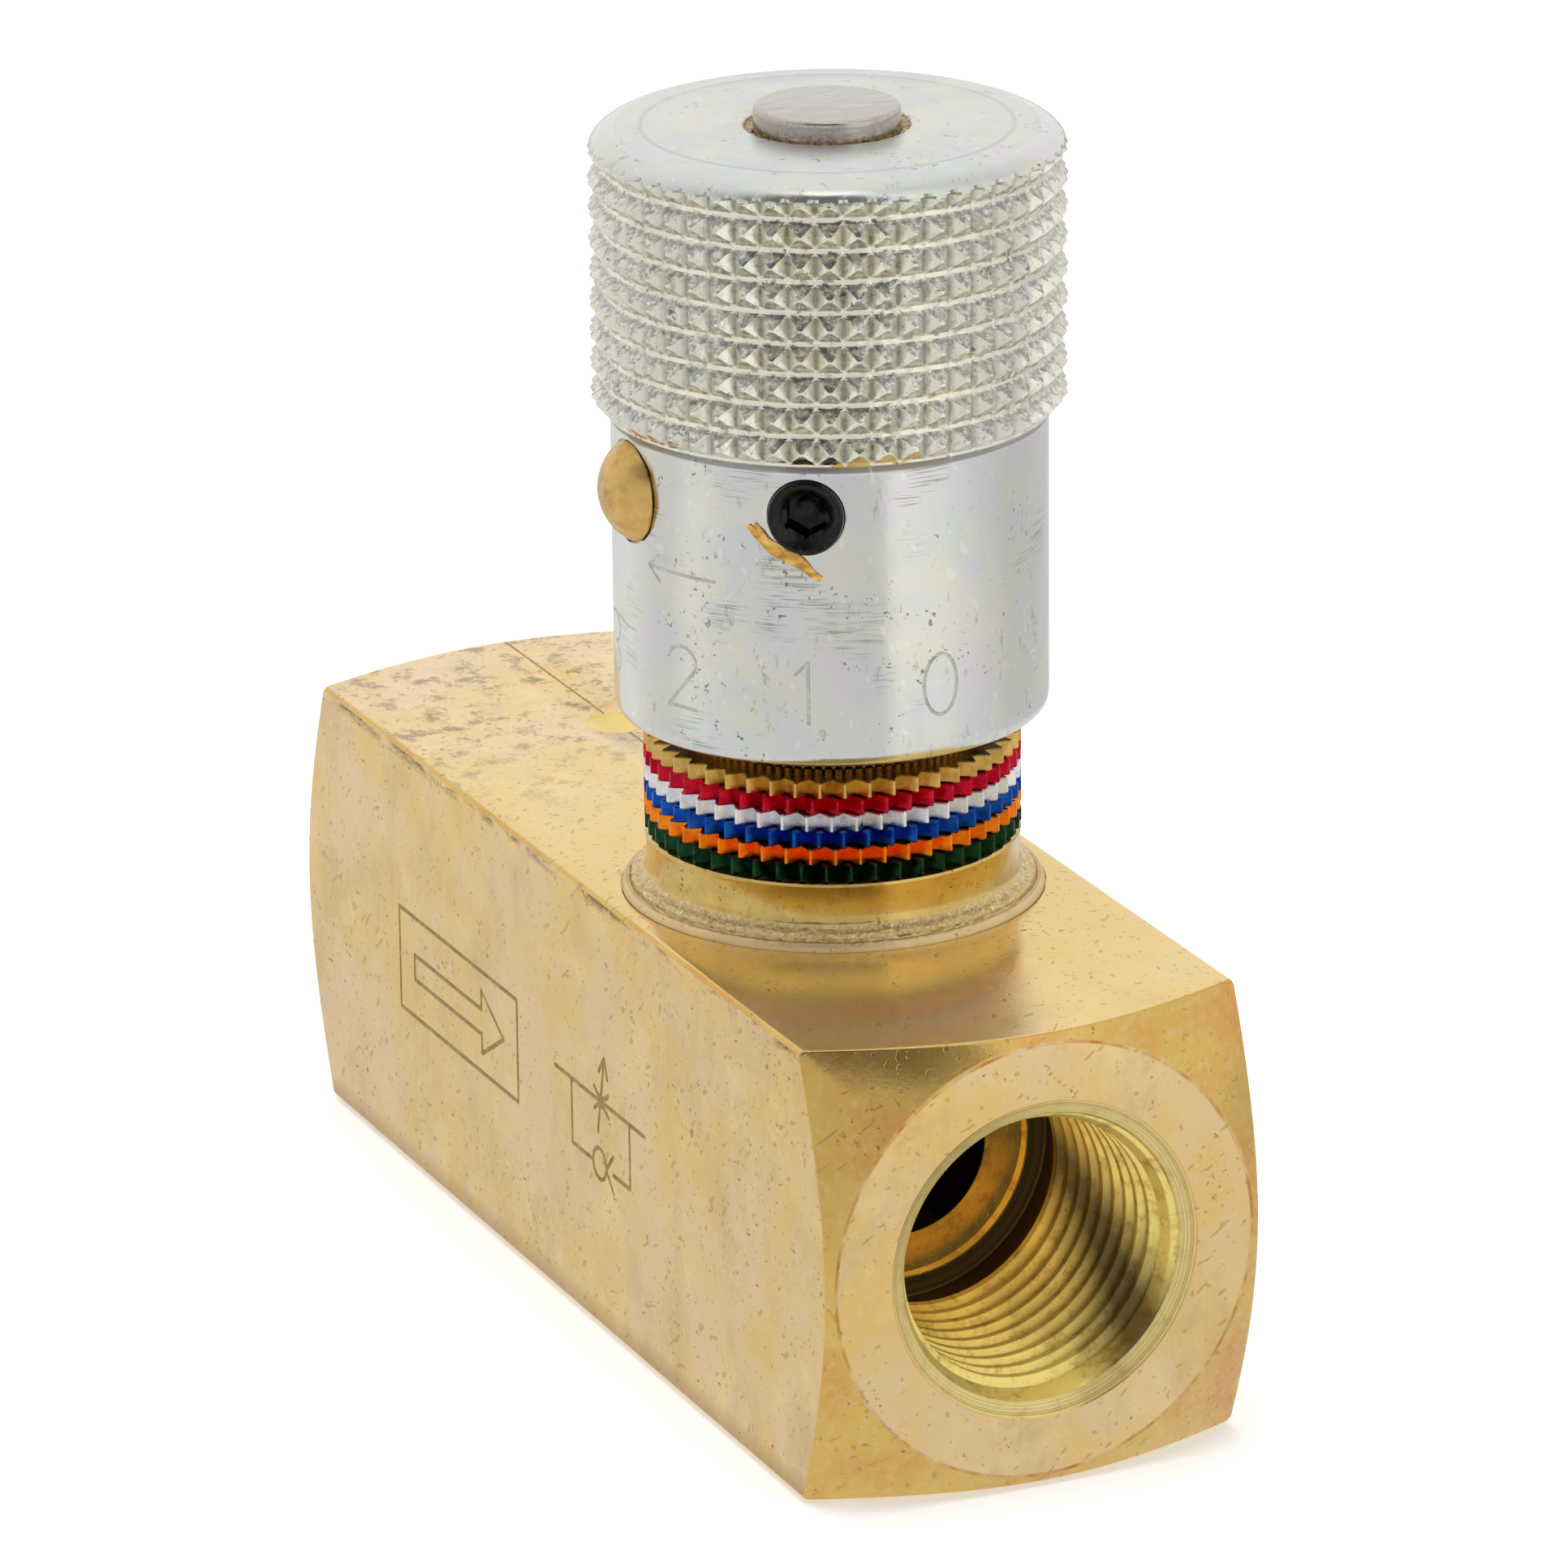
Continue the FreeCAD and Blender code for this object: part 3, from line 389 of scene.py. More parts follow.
def stroke_cutter(strokes, width, depth, cell, place):
    """A closed cutter that follows strokes. place(across, along, height) gives points."""
    flat = np.array([point for stroke in strokes for point in stroke])
    low = flat.min(axis=0) - width
    high = flat.max(axis=0) + width
    counts = np.ceil((high - low) / cell).astype(int)
    across, along = np.meshgrid(
        low[0] + np.arange(counts[0] + 1) * cell,
        low[1] + np.arange(counts[1] + 1) * cell, indexing="ij")
    gap = distance_to(strokes, across, along)
    share = np.clip(1 - gap / (width / 2), -0.5, 1)
    floor = -depth * np.where(share > 0, np.sqrt(np.clip(share, 0, 1)), share * 2)
    wave = 1 + 0.25 * np.sin(across * 1.7 + along * 2.3)
    floor = np.where(floor < 0, floor * wave, floor)
    corner_in = gap < width * 0.75
    used = corner_in[:-1, :-1] & corner_in[1:, :-1] & corner_in[:-1, 1:] & corner_in[1:, 1:]
    bottom = place(across, along, floor)
    top = place(across, along, np.full_like(floor, depth * 2))
    total = across.size
    index = np.arange(total).reshape(across.shape)
    corners = [index[:-1, :-1], index[1:, :-1], index[1:, 1:], index[:-1, 1:]]
    cells = np.stack([corner[used] for corner in corners], axis=-1)
    faces = [cells, cells[:, ::-1] + total]
    padded = np.pad(used, 1)
    sides = (
        (padded[1:-1, :-2], 0, 1), (padded[2:, 1:-1], 1, 2),
        (padded[1:-1, 2:], 2, 3), (padded[:-2, 1:-1], 3, 0))
    for beyond, first, second in sides:
        edge = used & ~beyond
        one, two = corners[first][edge], corners[second][edge]
        faces.append(np.stack([two, one, one + total, two + total], axis=-1))
    points = np.concatenate([bottom.reshape(-1, 3), top.reshape(-1, 3)])
    keep, quads = np.unique(np.concatenate(faces), return_inverse=True)
    made = mesh_of(points[keep], quads.reshape(-1, 4).tolist())
    bmesh.ops.recalc_face_normals(made, faces=made.faces)
    return marked(made)


# The bar


def square_section(corner, per_side=40, per_corner=5):
    """Polar angles and radii of points round the bar's section."""
    flat = HALF - corner
    reach = math.atan2(flat, HALF)
    angles, radii = [], []
    for quarter in range(4):
        for a in np.linspace(-reach, reach, per_side, endpoint=False):
            angles.append(a + quarter * TURN / 4)
            radii.append(HALF / math.cos(a))
        for b in np.linspace(0, TURN / 4, per_corner, endpoint=False):
            y, z = flat + corner * math.cos(b), flat + corner * math.sin(b)
            angles.append(math.atan2(z, y) + quarter * TURN / 4)
            radii.append(math.hypot(y, z))
    return np.array(angles), np.array(radii)


def bar_blank(angles, radii):
    """The bar with coned ends, before anything is drilled."""
    rows = []
    cone = (radii - FACE_RADIUS) * CONE_SLOPE
    for end, inward in ((X_NEAR, -1), (X_FAR, 1)):
        middle = (X_NEAR - X_FAR) / 2
        face = soften((0, 1), (0, FACE_RADIUS), (cone, radii), 0.12)
        edge = soften((0, FACE_RADIUS), (cone, radii), (middle, radii), 0.16)
        points = [(0 * radii, 0 * radii)] + face + edge
        block = [(end + inward * (depth + 0 * radii), r + 0 * radii) for depth, r in points]
        rows += block if inward < 0 else block[::-1]
    return around_x([row[0] for row in rows], [row[1] for row in rows], angles)


def passage_tool(angles):
    """What is bored out along the bar. The threaded walls are put in afterwards."""
    port = [
        (-1, MOUTH + (MOUTH - LEAD) / COUNTERSINK), (COUNTERSINK, LEAD), (CREST_END, UNDERCUT),
        (UNDERCUT_END, UNDERCUT), (UNDERCUT_END, FLOOR_RADIUS), (PORT_FLOOR, FLOOR_RADIUS),
    ]
    middle = [
        (X_NEAR - PORT_FLOOR, NEAR_BORE), (SEAT_START, NEAR_BORE), (SEAT_START, SEAT_BORE),
        (SEAT_END, SEAT_BORE), (SEAT_END, CHAMBER), (CLIP_START, CHAMBER),
        (CLIP_START, CLIP_GROOVE), (CLIP_END, CLIP_GROOVE), (CLIP_END, CHAMBER),
        (X_FAR + PORT_FLOOR, CHAMBER),
    ]
    steps = [(X_NEAR + 1, 0)] + [(X_NEAR - depth, r) for depth, r in port]
    steps += middle + [(X_FAR + depth, r) for depth, r in reversed(port)] + [(X_FAR - 1, 0)]
    return skin(around_x([x for x, _ in steps], [r for _, r in steps], angles))


def bonnet_tool():
    """Spot face, bonnet bore, needle pocket and orifice."""
    steps = [
        (0, BAR_TOP + 1), (SPOT_FACE, BAR_TOP + 1), (SPOT_FACE, BAR_TOP - 0.15),
        (BONNET_BORE, BAR_TOP - 0.15), (BONNET_BORE, BONNET_FLOOR), (POCKET, BONNET_FLOOR),
        (POCKET, POCKET_FLOOR), (ORIFICE, POCKET_FLOOR), (ORIFICE, AXIS_Z), (0, AXIS_Z),
    ]
    return skin(around_z(steps, even_angles(160)))


def gallery_tool():
    """The thin drilling from the far port's floor to the needle pocket."""
    start = np.array([X_FAR + PORT_FLOOR - 0.2, 0.0, 19.5])
    finish = np.array([-5.0, 0.0, 20.0])
    angles = even_angles(24)
    ring = np.stack([0 * angles, np.cos(angles), np.sin(angles)], axis=-1)
    return skin(capped([start + ring, finish + ring]))


def dimple_tool():
    """The drill-point dimple, with a softened rim."""
    steps = rounded(
        [(0, BAR_TOP - 1.0), (DIMPLE_RADIUS, BAR_TOP), (DIMPLE_RADIUS + 0.5, BAR_TOP + 0.1),
         (DIMPLE_RADIUS + 0.5, BAR_TOP + 1), (0, BAR_TOP + 1)],
        [0, 0.15, 0, 0, 0])
    made = skin(around_z(steps, even_angles(48)))
    bmesh.ops.translate(made, verts=made.verts, vec=(DIMPLE_X * MM, 0, 0))
    return made


def scribe_tool():
    """The narrow line scribed along the middle of the top."""
    width, depth = 0.09, 0.07
    ends = []
    for x in (X_FAR - 1, SCRIBE_END):
        ends.append([
            (x, -width, BAR_TOP + 0.01), (x, 0, BAR_TOP - depth), (x, width, BAR_TOP + 0.01),
            (x, width, BAR_TOP + 1), (x, -width, BAR_TOP + 1)])
    return marked(skin(capped(ends)))


def side_strokes():
    """Generic marks on the long side: a framed flow arrow, and the throttle-check sign."""
    left, right, low, high = -32.2, -14.9, 9.4, 15.5
    middle = (low + high) / 2
    strokes = [[(left, low), (right, low), (right, high), (left, high), (left, low)]]
    for rise in (-0.75, 0.75):
        strokes.append([(left + 2.2, middle + rise), (right - 5.2, middle + rise)])
    strokes.append([(left + 2.2, middle - 0.75), (left + 2.2, middle + 0.75)])
    strokes.append([
        (right - 5.2, middle + 0.75), (right - 5.2, middle + 1.9), (right - 2.0, middle),
        (right - 5.2, middle - 1.9), (right - 5.2, middle - 0.75)])
    top, bottom, near, far = 13.5, 9.7, 0.8, -7.2
    seat = (-3.4, 9.75)
    strokes.append([(far - 2.3, top), (near + 2.1, top)])
    strokes.append([(far, top), (far, bottom), (seat[0] - 1.2, bottom)])
    strokes.append([(near, top), (near, bottom), (seat[0] + 1.9, bottom)])
    strokes.append(arc_stroke(seat, 0.9, 0, 360, steps=24))
    strokes.append([
        (seat[0] + 1.9, bottom + 1.1), (seat[0] + 0.9, bottom), (seat[0] + 1.9, bottom - 1.1)])
    tip = (-2.57, 16.18)
    strokes.append([(-3.57, 11.6), tip])
    strokes.append([(tip[0] - 0.75, tip[1] - 0.95), tip, (tip[0] + 0.4, tip[1] - 1.1)])
    strokes.append(arc_stroke((-3.05, 15.1), 1.35, 225, 315))
    strokes.append(arc_stroke((-3.05, 11.9), 1.35, 45, 135))
    return strokes


def side_tool():
    def place(across, along, height):
        return np.stack([across, -HALF - height, along], axis=-1)

    return stroke_cutter(side_strokes(), 0.27, 0.11, 0.06, place)


def thread_radius(depth, phase):
    """The port's wall at a depth. phase runs from one crest's middle to the next."""
    groove = np.interp(from_whole(phase), [0, 0.13, 0.16, 0.47, 0.5], [0, 0, 0.03, 0.98, 1.0])
    lead = np.interp(depth, [COUNTERSINK, CREST_START + 0.2], [LEAD, CREST - 0.001])
    return np.maximum(lead, CREST + (ROOT - CREST) * groove)


def threaded_wall(angles, end, inward):
    """The helical wall between a port's countersink and its undercut."""
    marks = [0, 0.13, 0.16, 0.24, 0.315, 0.39, 0.47, 0.53, 0.61, 0.685, 0.76, 0.84, 0.87]
    turns = int(CREST_END / PITCH) + 4
    whole = np.append(angles, angles[0] + TURN)
    lean = whole / TURN * (1 if inward < 0 else -1)
    rows = []
    for step in range(-2 * len(marks), turns * len(marks)):
        phase = step // len(marks) + marks[step % len(marks)]
        depth = np.clip((phase + lean) * PITCH, COUNTERSINK, CREST_END)
        rows.append((depth, thread_radius(depth, depth / PITCH - lean)))
    rows.append((CREST_END + 0 * whole, UNDERCUT + 0 * whole))
    return around_x([end + inward * depth for depth, _ in rows], [r for _, r in rows], whole)


def open_ports(made):
    """Take out the plain walls that the threaded ones stand for."""
    middle = Vector((0, 0, AXIS_Z * MM))
    gone = []
    for face in made.faces:
        centre = (face.calc_center_median() - middle) / MM
        depth = min(X_NEAR - centre.x, centre.x - X_FAR)
        from_axis = math.hypot(centre.y, centre.z)
        if COUNTERSINK < depth < CREST_END and UNDERCUT - 0.2 < from_axis < LEAD + 0.2:
            gone.append(face)
    bmesh.ops.delete(made, geom=gone, context="FACES")


def bar(materials):
    angles, radii = square_section(BAR_CORNER)
    made = cut(
        skin(bar_blank(angles, radii)), side_tool(), scribe_tool(), dimple_tool(),
        passage_tool(angles), bonnet_tool(), gallery_tool())
    open_ports(made)
    walls = Shell()
    for end, inward in ((X_NEAR, -1), (X_FAR, 1)):
        walls.grid(threaded_wall(angles, end, inward), wrap=False)
    join(made, walls.bmesh())
    return piece("bar", made, "valve", "valve_body", materials, sharp=28)


# Bonnet and rings


def tooth_angles(count, turn, marks):
    """Angles that fall on every tooth's tip, root and flanks."""
    return np.concatenate([(index + np.array(marks)) * TURN / count for index in range(count)]) + turn


def rough(points, size, depth, low, high):
    """Push points in or out with smooth noise, between two heights."""
    moved = points.copy()
    for row in moved:
        for p in row:
            if low < p[2] < high:
                fade = min(1, (p[2] - low) / 0.1, (high - p[2]) / 0.1)
                push = lump(Vector(p) / size, 2.3) * depth * fade
                p[2] += push
                p[:2] *= 1 + push / 11
    return moved


def bonnet(material):
    top = box_mm("bonnet")[1][2]
    ring_low = box_mm("scale_ring_green")[0][2]
    spigot_top = KNOB_LOW[2] + 0.2
    collar = [
        (PLUG, 25.25), (11.57, 25.25), (11.56, 25.5), (11.47, 25.72), (11.32, 25.85),
        (11.18, 25.88), (11.1, 25.78), (11.04, 25.9), (11.03, 26.06), (10.94, 26.2),
        (10.8, 26.28), (10.62, 26.3), (10.48, 26.38), (10.36, 26.52), (10.26, 26.72),
        (10.2, 27.0), (10.19, 28.4), (10.24, 28.52), (10.26, 28.64), (10.2, 28.78),
        (9.95, ring_low), (SPIGOT, ring_low),
    ]
    plug = rounded(
        [(NECK_BORE, PLUG_END), (PLUG, PLUG_END), (PLUG, 21.6), (SEAL_FLOOR, 21.6),
         (SEAL_FLOOR, 23.6), (PLUG, 23.6)],
        [0, 0.2, 0, 0.1, 0.1, 0])
    upper = rounded(
        [(NECK_THREAD, spigot_top), (NECK_THREAD, 40.6), (7.2, 40.6), (7.2, 51.4),
         (NECK_THREAD, 51.4), (NECK_THREAD, top), (BONNET_THREAD, top), (BONNET_THREAD, 33.0),
         (NECK_BORE, 32.35), (NECK_BORE, PLUG_END)],
        [0, 0.1, 0.1, 0.1, 0.1, 0.25, 0, 0, 0, 0])
    angles = tooth_angles(SPIGOT_TEETH, 0, [0, 0.17, 0.34, 0.5, 0.66, 0.83])
    bead = rough(around_z(collar, angles), 0.35, 0.07, 25.8, 26.5)

    def knurled(r, turned):
        return r - SPIGOT_NOTCH * from_whole(turned * SPIGOT_TEETH / TURN) * 2

    toothed = around_z([(SPIGOT, ring_low), (SPIGOT, spigot_top - 0.1)], angles, knurled)
    foot = around_z([(SPIGOT, ring_low)], angles)
    head = around_z([(NECK_THREAD, spigot_top)], angles)
    made = skin(
        around_z(plug, angles), bead, np.concatenate([foot, toothed, head]),
        around_z(upper, angles), around_z([plug[-1], collar[0]], angles))
    return piece("bonnet_neck", made, "valve", "bonnet", [material], 32)


def scale_ring(colour, material):
    node = f"scale_ring_{colour}"
    low, high = box_mm(node)
    points = vertices_mm(node)
    reach = np.hypot(points[:, 0], points[:, 1])
    tip = points[np.argmax(reach)]
    turn = math.atan2(tip[1], tip[0])
    flank = [0.05, 0.08, 0.13, 0.19, 0.26, 0.34, 0.42]
    marks = [0] + flank + [0.5] + [1 - mark for mark in reversed(flank)]
    angles = tooth_angles(RING_TEETH, turn, marks)
    outer, inner = reach.max(), reach.min()

    def toothed(r, turned):
        gap = from_whole((turned - turn) * RING_TEETH / TURN)
        hollow = np.clip((gap - 0.05) / 0.45, 0, 1)
        return r - RING_NOTCH * (1 - (1 - hollow) ** 1.2)

    edge = 0.07
    rim = [
        (outer - edge, low[2]), (outer, low[2] + edge), (outer, high[2] - edge),
        (outer - edge, high[2])]
    rim = jitter(around_z(rim, angles, toothed), 0.3, 0.02, outer)
    inside = around_z([(inner, high[2]), (inner, low[2])], angles)
    made = skin(np.concatenate([rim, inside, rim[:1]]))
    return piece(f"ring_{colour}", made, "valve", node, [material], 25)


# Knob


def knurled_band(columns, rows):
    """Ridges with smooth bands between them, notched into teeth. Gives the band's points,
    and which way to split each quad. columns and rows are marks along one pitch."""
    angles = tooth_angles(KNURL_COLUMNS, 0, columns)
    column = np.tile(np.array(columns), KNURL_COLUMNS)
    rows = np.concatenate([index + np.array(rows) for index in range(KNURL_ROWS)])
    rows = rows[rows <= KNURL_ROWS - 0.5]

    ridge = np.interp(from_whole(rows), [0, 0.08, 0.16, 0.44, 0.5], [0, 0.04, 0.2, 0.97, 1.0])
    notch = np.interp(from_whole(column), [0, 0.03, 0.42, 0.5], [0.02, 0.07, 0.97, 1.0])
    lift = np.minimum(ridge[:, None], notch[None, :])
    radius = TIP - KNURL_DEPTH + KNURL_DEPTH * lift
    z = KNURL_BOTTOM + rows * KNURL_PITCH
    points = np.stack([
        radius * np.cos(angles), radius * np.sin(angles),
        np.broadcast_to(z[:, None], radius.shape)], axis=-1)
    half_row = (np.floor(rows[:-1] * 2 + 1e-6) % 2).astype(int)
    half_column = (np.floor(column * 2 + 1e-6) % 2).astype(int)
    split = np.where(half_row[:, None] == half_column[None, :], 1, 2)
    return angles, jitter(points, 0.7, 0.06), split


def digit_strokes():
    """Plain numerals, in a box one wide and two high."""
    return {
        "0": [arc_stroke((0.5, 1.0), 1.0, 90, 450, squash=0.5, steps=24)],
        "1": [[(0.2, 1.6), (0.55, 2.0), (0.55, 0.0)]],
        "2": [arc_stroke((0.5, 1.5), 0.5, 170, -40, steps=12) + [(0.0, 0.0), (1.0, 0.0)]],
        "3": [arc_stroke((0.45, 1.5), 0.5, 150, -90, steps=12)
              + arc_stroke((0.45, 0.5), 0.5, 90, -150, steps=12)],
        "4": [[(0.75, 0.0), (0.75, 2.0), (0.0, 0.6), (1.0, 0.6)]],
        "5": [[(0.95, 2.0), (0.15, 2.0), (0.1, 1.15)] + arc_stroke((0.45, 0.6), 0.6, 110, -140)],
        "6": [[(0.8, 1.95), (0.15, 0.9)], arc_stroke((0.5, 0.5), 0.5, 0, 360, steps=20)],
        "7": [[(0.0, 2.0), (1.0, 2.0), (0.35, 0.0)]],
        "8": [arc_stroke((0.5, 1.5), 0.46, 0, 360, steps=18),
              arc_stroke((0.5, 0.5), 0.5, 0, 360, steps=18)],
        "9": [[(0.2, 0.05), (0.85, 1.1)], arc_stroke((0.5, 1.5), 0.5, 0, 360, steps=20)],
    }


def skirt_place(across, along, height):
    """Across is counted as distance round the skirt from +X."""
    angle = across / SKIRT
    reach = SKIRT + height
    return np.stack([reach * np.cos(angle), reach * np.sin(angle), along], axis=-1)


def dial_tools():
    """The faint numerals stamped round the skirt, and a turning arrow."""
    height, width = 3.4, 2.0
    middle = KNOB_LOW[2] + 4.3
    tools = []
    for digit, strokes in digit_strokes().items():
        angle = math.radians(5 - 36 * int(digit))
        moved = [
            [(angle * SKIRT + (x - 0.5) * width, middle + (y - 1) * height / 2) for x, y in stroke]
            for stroke in strokes]
        tools.append(stroke_cutter(moved, 0.2, 0.07, 0.06, skirt_place))
    start, finish = (math.radians(a) * SKIRT for a in (-56, -79.5))
    level = KNOB_LOW[2] + 10.0
    arrow = [
        [(start, level), (finish, level)],
        [(finish + 0.9, level + 0.7), (finish, level), (finish + 0.9, level - 0.7)]]
    tools.append(stroke_cutter(arrow, 0.2, 0.07, 0.06, skirt_place))
    return tools


def radial_hole(radius, angle, height, start, finish):
    """A closed cylinder along a spoke, to cut a hole in the skirt."""
    steps = [(0, start), (radius, start), (radius, finish), (0, finish)]
    return skin(on_spoke(around_z(steps, even_angles(64)), angle, height))


def dial_holes():
    """The lock screw's hole, and the dome's recess and hole, ready to be cut."""
    pin_height = middle_mm("stop_pin")[2]
    return [
        radial_hole(2.1, LOCK_ANGLE, middle_mm("lock_screw")[2], 5, 14),
        radial_hole(2.85, PIN_ANGLE, pin_height, PIN_SEAT - 0.03, 14),
        radial_hole(1.63, PIN_ANGLE, pin_height, 5, 14)]


def knob_skirt(angles):
    """The plain part of the knob, up to where the knurl starts."""
    bottom = KNOB_LOW[2]
    outline = rounded(
        [(8.3, KNOB_SPLIT), (8.3, 43.2), (10.5, 43.2), (10.5, bottom), (SKIRT, bottom),
         (SKIRT, KNURL_BOTTOM - 0.4), (TIP - KNURL_DEPTH, KNURL_BOTTOM)],
        [0, 0, 0.2, 0.4, 0.8, 0.3, 0], steps=5)
    blank = skin(around_z([(0, KNOB_SPLIT)] + outline + [(0, KNURL_BOTTOM)], angles))
    made = cut(blank, *dial_tools(), *dial_holes())
    caps = []
    for face in made.faces:
        heights = [v.co.z / MM for v in face.verts]
        if any(max(abs(z - level) for z in heights) < 1e-3 for level in (KNURL_BOTTOM, KNOB_SPLIT)):
            caps.append(face)
    bmesh.ops.delete(made, geom=caps, context="FACES")
    return made


def knob_crown(angles, ridge):
    """From the top ridge of the knurl, over the rounded shoulder, to the hub's mouth."""
    top = KNOB_HIGH[2]
    height = top - CROWN_START
    teeth = np.hypot(ridge[:, 0], ridge[:, 1])
    shoulder = []
    for step in range(9):
        a = TURN / 4 * step / 8
        reach = CROWN_RADIUS + (TIP - 0.06 - CROWN_RADIUS) * math.cos(a)
        z = CROWN_START + 0.05 + (height - 0.12) * math.sin(a) ** 1.15
        shown = np.minimum(reach, teeth + (z - CROWN_START) * 1.5)
        shoulder.append(np.stack([
            shown * np.cos(angles), shown * np.sin(angles), np.full_like(angles, z)], axis=-1))
    flat = around_z(
        [(10.1, top - 0.02), (10.0, top - 0.025), (9.9, top), (7.0, top), (HUB_MOUTH + 0.25, top)],
        angles)
    mouth = [
        (HUB_MOUTH + 0.1, top - 0.02), (HUB_MOUTH, top - 0.1), (HUB_MOUTH - 0.12, top - 0.24),
        (4.15, top - 0.33), (3.97, top - 0.36), (3.9, top - 0.8)]
    mouth = jitter(around_z(mouth, angles), 0.35, 0.08)
    inside = around_z([(3.9, KNOB_SPLIT), (8.3, KNOB_SPLIT)], angles)
    return skin(np.concatenate([ridge[None], np.array(shoulder), flat, mouth, inside]))


def knob(materials):
    columns = [0, 0.03, 0.16, 0.3, 0.43, 0.5, 0.57, 0.7, 0.84, 0.97]
    rows = [0, 0.08, 0.16, 0.22, 0.34, 0.46, 0.5, 0.54, 0.66, 0.78, 0.84, 0.92]
    angles, band, split = knurled_band(columns, rows)
    band[0] = around_z([(TIP - KNURL_DEPTH, KNURL_BOTTOM)], angles)[0]
    made = knob_skirt(angles)
    knurl = Shell()
    knurl.grid(band, split=split)
    join(made, knurl.bmesh())
    join(made, knob_crown(angles, band[-1]))
    return piece("knob_shell", made, "knob", "knob", materials, sharp=24)


# Stem, screws and small things


def stem(material):
    low, high = box_mm("needle_stem")
    top, radius = high[2], high[0]
    needle, land, groove, waist, crest, root, relief = 2.4, 3.3, 1.85, 3.05, 3.95, 3.48, 3.38
    thread_start, thread_end = 40.3, 52.0
    steps = [
        (0, low[2]), (0.5, low[2]), (needle, low[2] + 3.8), (needle, 28.0), (land, 28.0),
        (land, 28.5), (groove, 28.5), (groove, 31.0), (land, 31.0), (land, 33.4),
        (waist, 33.65), (waist, thread_start - 0.9), (crest, thread_start)]
    for index in range(12):
        middle = thread_start + (index + 0.5) * NEEDLE_PITCH
        steps += [(crest, middle - 0.35), (root, middle), (crest, middle + 0.35)]
    steps += [(crest, thread_end), (relief, thread_end), (relief, 53.2), (radius, 53.7)]
    steps += rounded([(radius, 53.8), (radius, top), (0, top)], [0, 0.3, 0], steps=5)
    made = skin(around_z(steps, even_angles(128)))
    return piece("stem", made, "knob", "needle_stem", [material], 30)


def radial_piece(name, profile, angle, body, node, material, count=96, radius=None):
    """A piece turned about a spoke of the knob."""
    points = around_z(profile, even_angles(count), radius)
    made = skin(on_spoke(points, angle, middle_mm(node)[2]))
    return piece(name, made, body, node, [material])


def set_screw(material):
    low, high = box_mm("lock_screw")
    radius = (high[2] - low[2]) / 2
    out = vertices_mm("lock_screw") @ LOCK_AXIS
    start, finish = out.min(), out.max()
    flat = 1.04

    def hexed(r, angles):
        if r != flat:
            return r + 0 * angles
        share = (angles + TURN / 12) % (TURN / 6) - TURN / 12
        return flat / np.cos(share)

    profile = [
        (0, start), (radius - 0.4, start), (radius, start + 0.4), (radius, finish - 0.25),
        (radius - 0.06, finish - 0.08), (radius - 0.16, finish), (1.78, finish),
        (1.7, finish - 0.04), (1.3, finish - 0.42), (1.22, finish - 0.5), (flat, finish - 0.6),
        (flat, finish - 2.1), (0.6, finish - 2.3), (0.0, finish - 2.6)]
    return radial_piece("set_screw", profile, LOCK_ANGLE, "lock_screw", "lock_screw",
                        material, 120, hexed)


def dome(material):
    low, high = box_mm("stop_pin")
    start, finish = -high[1], -low[1] - 0.24
    radius = (high[2] - low[2]) / 2
    rim = PIN_SEAT + 0.2
    ball = (radius ** 2 + (finish - rim) ** 2) / (2 * (finish - rim))
    profile = [
        (0, start), (1.6, start), (1.6, PIN_SEAT), (radius - 0.1, PIN_SEAT),
        (radius, PIN_SEAT + 0.1)]
    reach = math.asin(radius / ball)
    for step in range(17):
        a = reach * (1 - step / 16)
        profile.append((ball * math.sin(a), finish - ball + ball * math.cos(a)))
    return radial_piece("dome_pin", profile, PIN_ANGLE, "knob", "stop_pin", material)


def sliver(material):
    """The string of set compound on the skirt, forked at one end."""
    middle = middle_mm("thread_lock_bead")
    angle = math.atan2(middle[1], middle[0])
    tilt = math.radians(33)
    length = 4.8
    strings = []
    strands = (
        (-length / 2, length / 2, 0.0, 0.0, 0.4),
        (-length * 0.45, length * 0.05, 0.42, -0.02, 0.17),
    )
    for start, finish, bow, drop, half in strands:
        rows = []
        for step in range(33):
            t = step / 32
            along = start + (finish - start) * t
            across = bow * (1 - t) ** 1.5 + drop + 0.08 * math.sin(along * 2.1)
            wide = half * (0.22 + 0.78 * math.sin(math.pi * (0.08 + t * 0.84)) ** 1.3)
            ring = []
            for a in even_angles(16):
                ripple = 0.6 + 0.4 * math.sin(along * 5 + bow + 2 * math.cos(a))
                s = across + wide * math.cos(a) * (0.9 + 0.1 * ripple)
                h = 0.035 + 0.09 * (1 + math.sin(a)) * ripple
                u = along * math.cos(tilt) + s * math.sin(tilt)
                v = -along * math.sin(tilt) + s * math.cos(tilt)
                turn = angle + u / SKIRT
                reach = SKIRT + h
                ring.append((reach * math.cos(turn), reach * math.sin(turn), middle[2] + v))
            rows.append(ring)
        strings.append(capped(rows))
    return piece("compound_sliver", skin(*strings), "knob", "thread_lock_bead", [material],
                 60)


